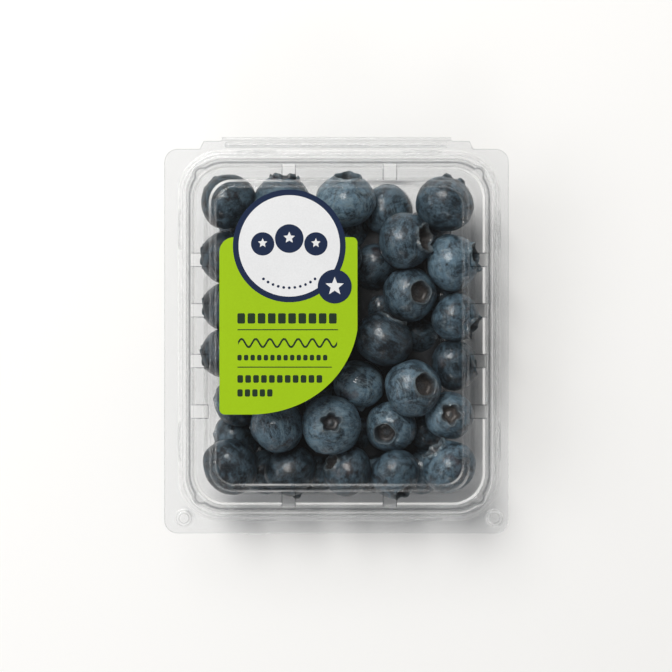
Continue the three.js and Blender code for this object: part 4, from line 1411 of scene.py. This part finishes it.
def surroundings(strength):
    """Pale surroundings, bright round the back left, and dim overhead and at the front right."""
    world = bpy.data.worlds.new("surroundings")
    bpy.context.scene.world = world
    world.use_nodes = True
    tree = world.node_tree
    place = add_node(tree, "ShaderNodeTexCoord").outputs["Generated"]
    height = add_node(tree, "ShaderNodeSeparateXYZ", {0: place}).outputs["Z"]
    ramp = add_node(tree, "ShaderNodeValToRGB", {0: height})
    side = add_node(tree, "ShaderNodeVectorMath", {0: place, 1: BRIGHT_SIDE}, operation="DOT_PRODUCT")
    spread = {"Value": side.outputs["Value"], 1: -1.0, 2: 1.0, 3: 0.3, 4: 1.1}
    share = add_node(tree, "ShaderNodeMapRange", spread)
    dimmed = {0: ramp.outputs[0], "Scale": share.outputs["Result"]}
    shade = add_node(tree, "ShaderNodeVectorMath", dimmed, operation="SCALE")
    background = tree.nodes["Background"].inputs
    set_socket(tree, background["Color"], shade.outputs[0])
    set_socket(tree, background["Strength"], strength)
    stops = ramp.color_ramp.elements
    stops[0].position, stops[1].position = SKY[0][0], SKY[-1][0]
    for position, _ in SKY[1:-1]:
        stops.new(position)
    for stop, (_, value) in zip(stops, SKY):
        stop.color = (*(value * tint for tint in SKY_TINT), 1.0)


class PUNNET_OT_stage(bpy.types.Operator):
    """Make the pale floor, the soft lights and the camera"""

    bl_idname = "punnet.stage"
    bl_label = "Stage"

    def execute(self, context):
        stage, scene = context.scene.punnet_stage, context.scene
        mesh = bmesh.new()
        bmesh.ops.create_grid(mesh, x_segments=4, y_segments=4, size=FLOOR_HALF)
        floor = finished("floor", mesh, turn=False)
        floor.location.z = -FLOOR_DROP
        floor.data.materials.append(floor_material(stage))
        surroundings(stage.fill)
        for name, (place, size, share, colour) in LIGHTS.items():
            soft_light(name, place, size, share * stage.key, colour)
        camera = placed("camera", bpy.data.cameras.new("camera"))
        camera.location = (CAMERA[0] * MM, CAMERA[1] * MM, LID_TOP * MM + stage.distance)
        camera.data.sensor_width = FILM_WIDTH
        camera.data.lens = FILM_WIDTH * stage.distance / VIEW_WIDTH
        camera.data.clip_end = FARTHEST
        scene.camera = camera
        scene.view_settings.view_transform = "Standard"
        for name, count in BOUNCES.items():
            setattr(scene.cycles, name, count)
        return {"FINISHED"}


class VIEW3D_PT_punnet(bpy.types.Panel):
    """The punnet's settings and the steps that make it"""

    bl_label = "Punnet"
    bl_space_type = "VIEW_3D"
    bl_region_type = "UI"
    bl_category = "Punnet"

    def draw(self, context):
        scene = context.scene
        groups = [
            (scene.punnet_pack, "sheet fillet tint thin creases haze", "tray lid hinge"),
            (scene.punnet_berries, "size seed skin bloom pit", "berries"),
            (scene.punnet_label, "panel badge paper print", "label"),
            (scene.punnet_stage, "floor distance key fill", "stage"),
        ]
        for settings, names, steps in groups:
            box = self.layout.box()
            for name in names.split():
                box.prop(settings, name)
            for step in steps.split():
                box.operator("punnet." + step)


SETTINGS = {
    "punnet_pack": PackSettings, "punnet_berries": BerrySettings,
    "punnet_label": LabelSettings, "punnet_stage": StageSettings,
}
CLASSES = (
    *SETTINGS.values(), PUNNET_OT_tray, PUNNET_OT_lid, PUNNET_OT_hinge, PUNNET_OT_berries,
    PUNNET_OT_label, PUNNET_OT_stage, VIEW3D_PT_punnet,
)


def register():
    for made in CLASSES:
        bpy.utils.register_class(made)
    for name, settings in SETTINGS.items():
        setattr(bpy.types.Scene, name, bpy.props.PointerProperty(type=settings))


def unregister():
    for name in SETTINGS:
        delattr(bpy.types.Scene, name)
    for made in reversed(CLASSES):
        bpy.utils.unregister_class(made)


def main():
    register()
    for step in (bpy.ops.punnet.tray, bpy.ops.punnet.lid, bpy.ops.punnet.hinge,
                 bpy.ops.punnet.berries, bpy.ops.punnet.label, bpy.ops.punnet.stage):
        step()


if __name__ == "__main__":
    main()
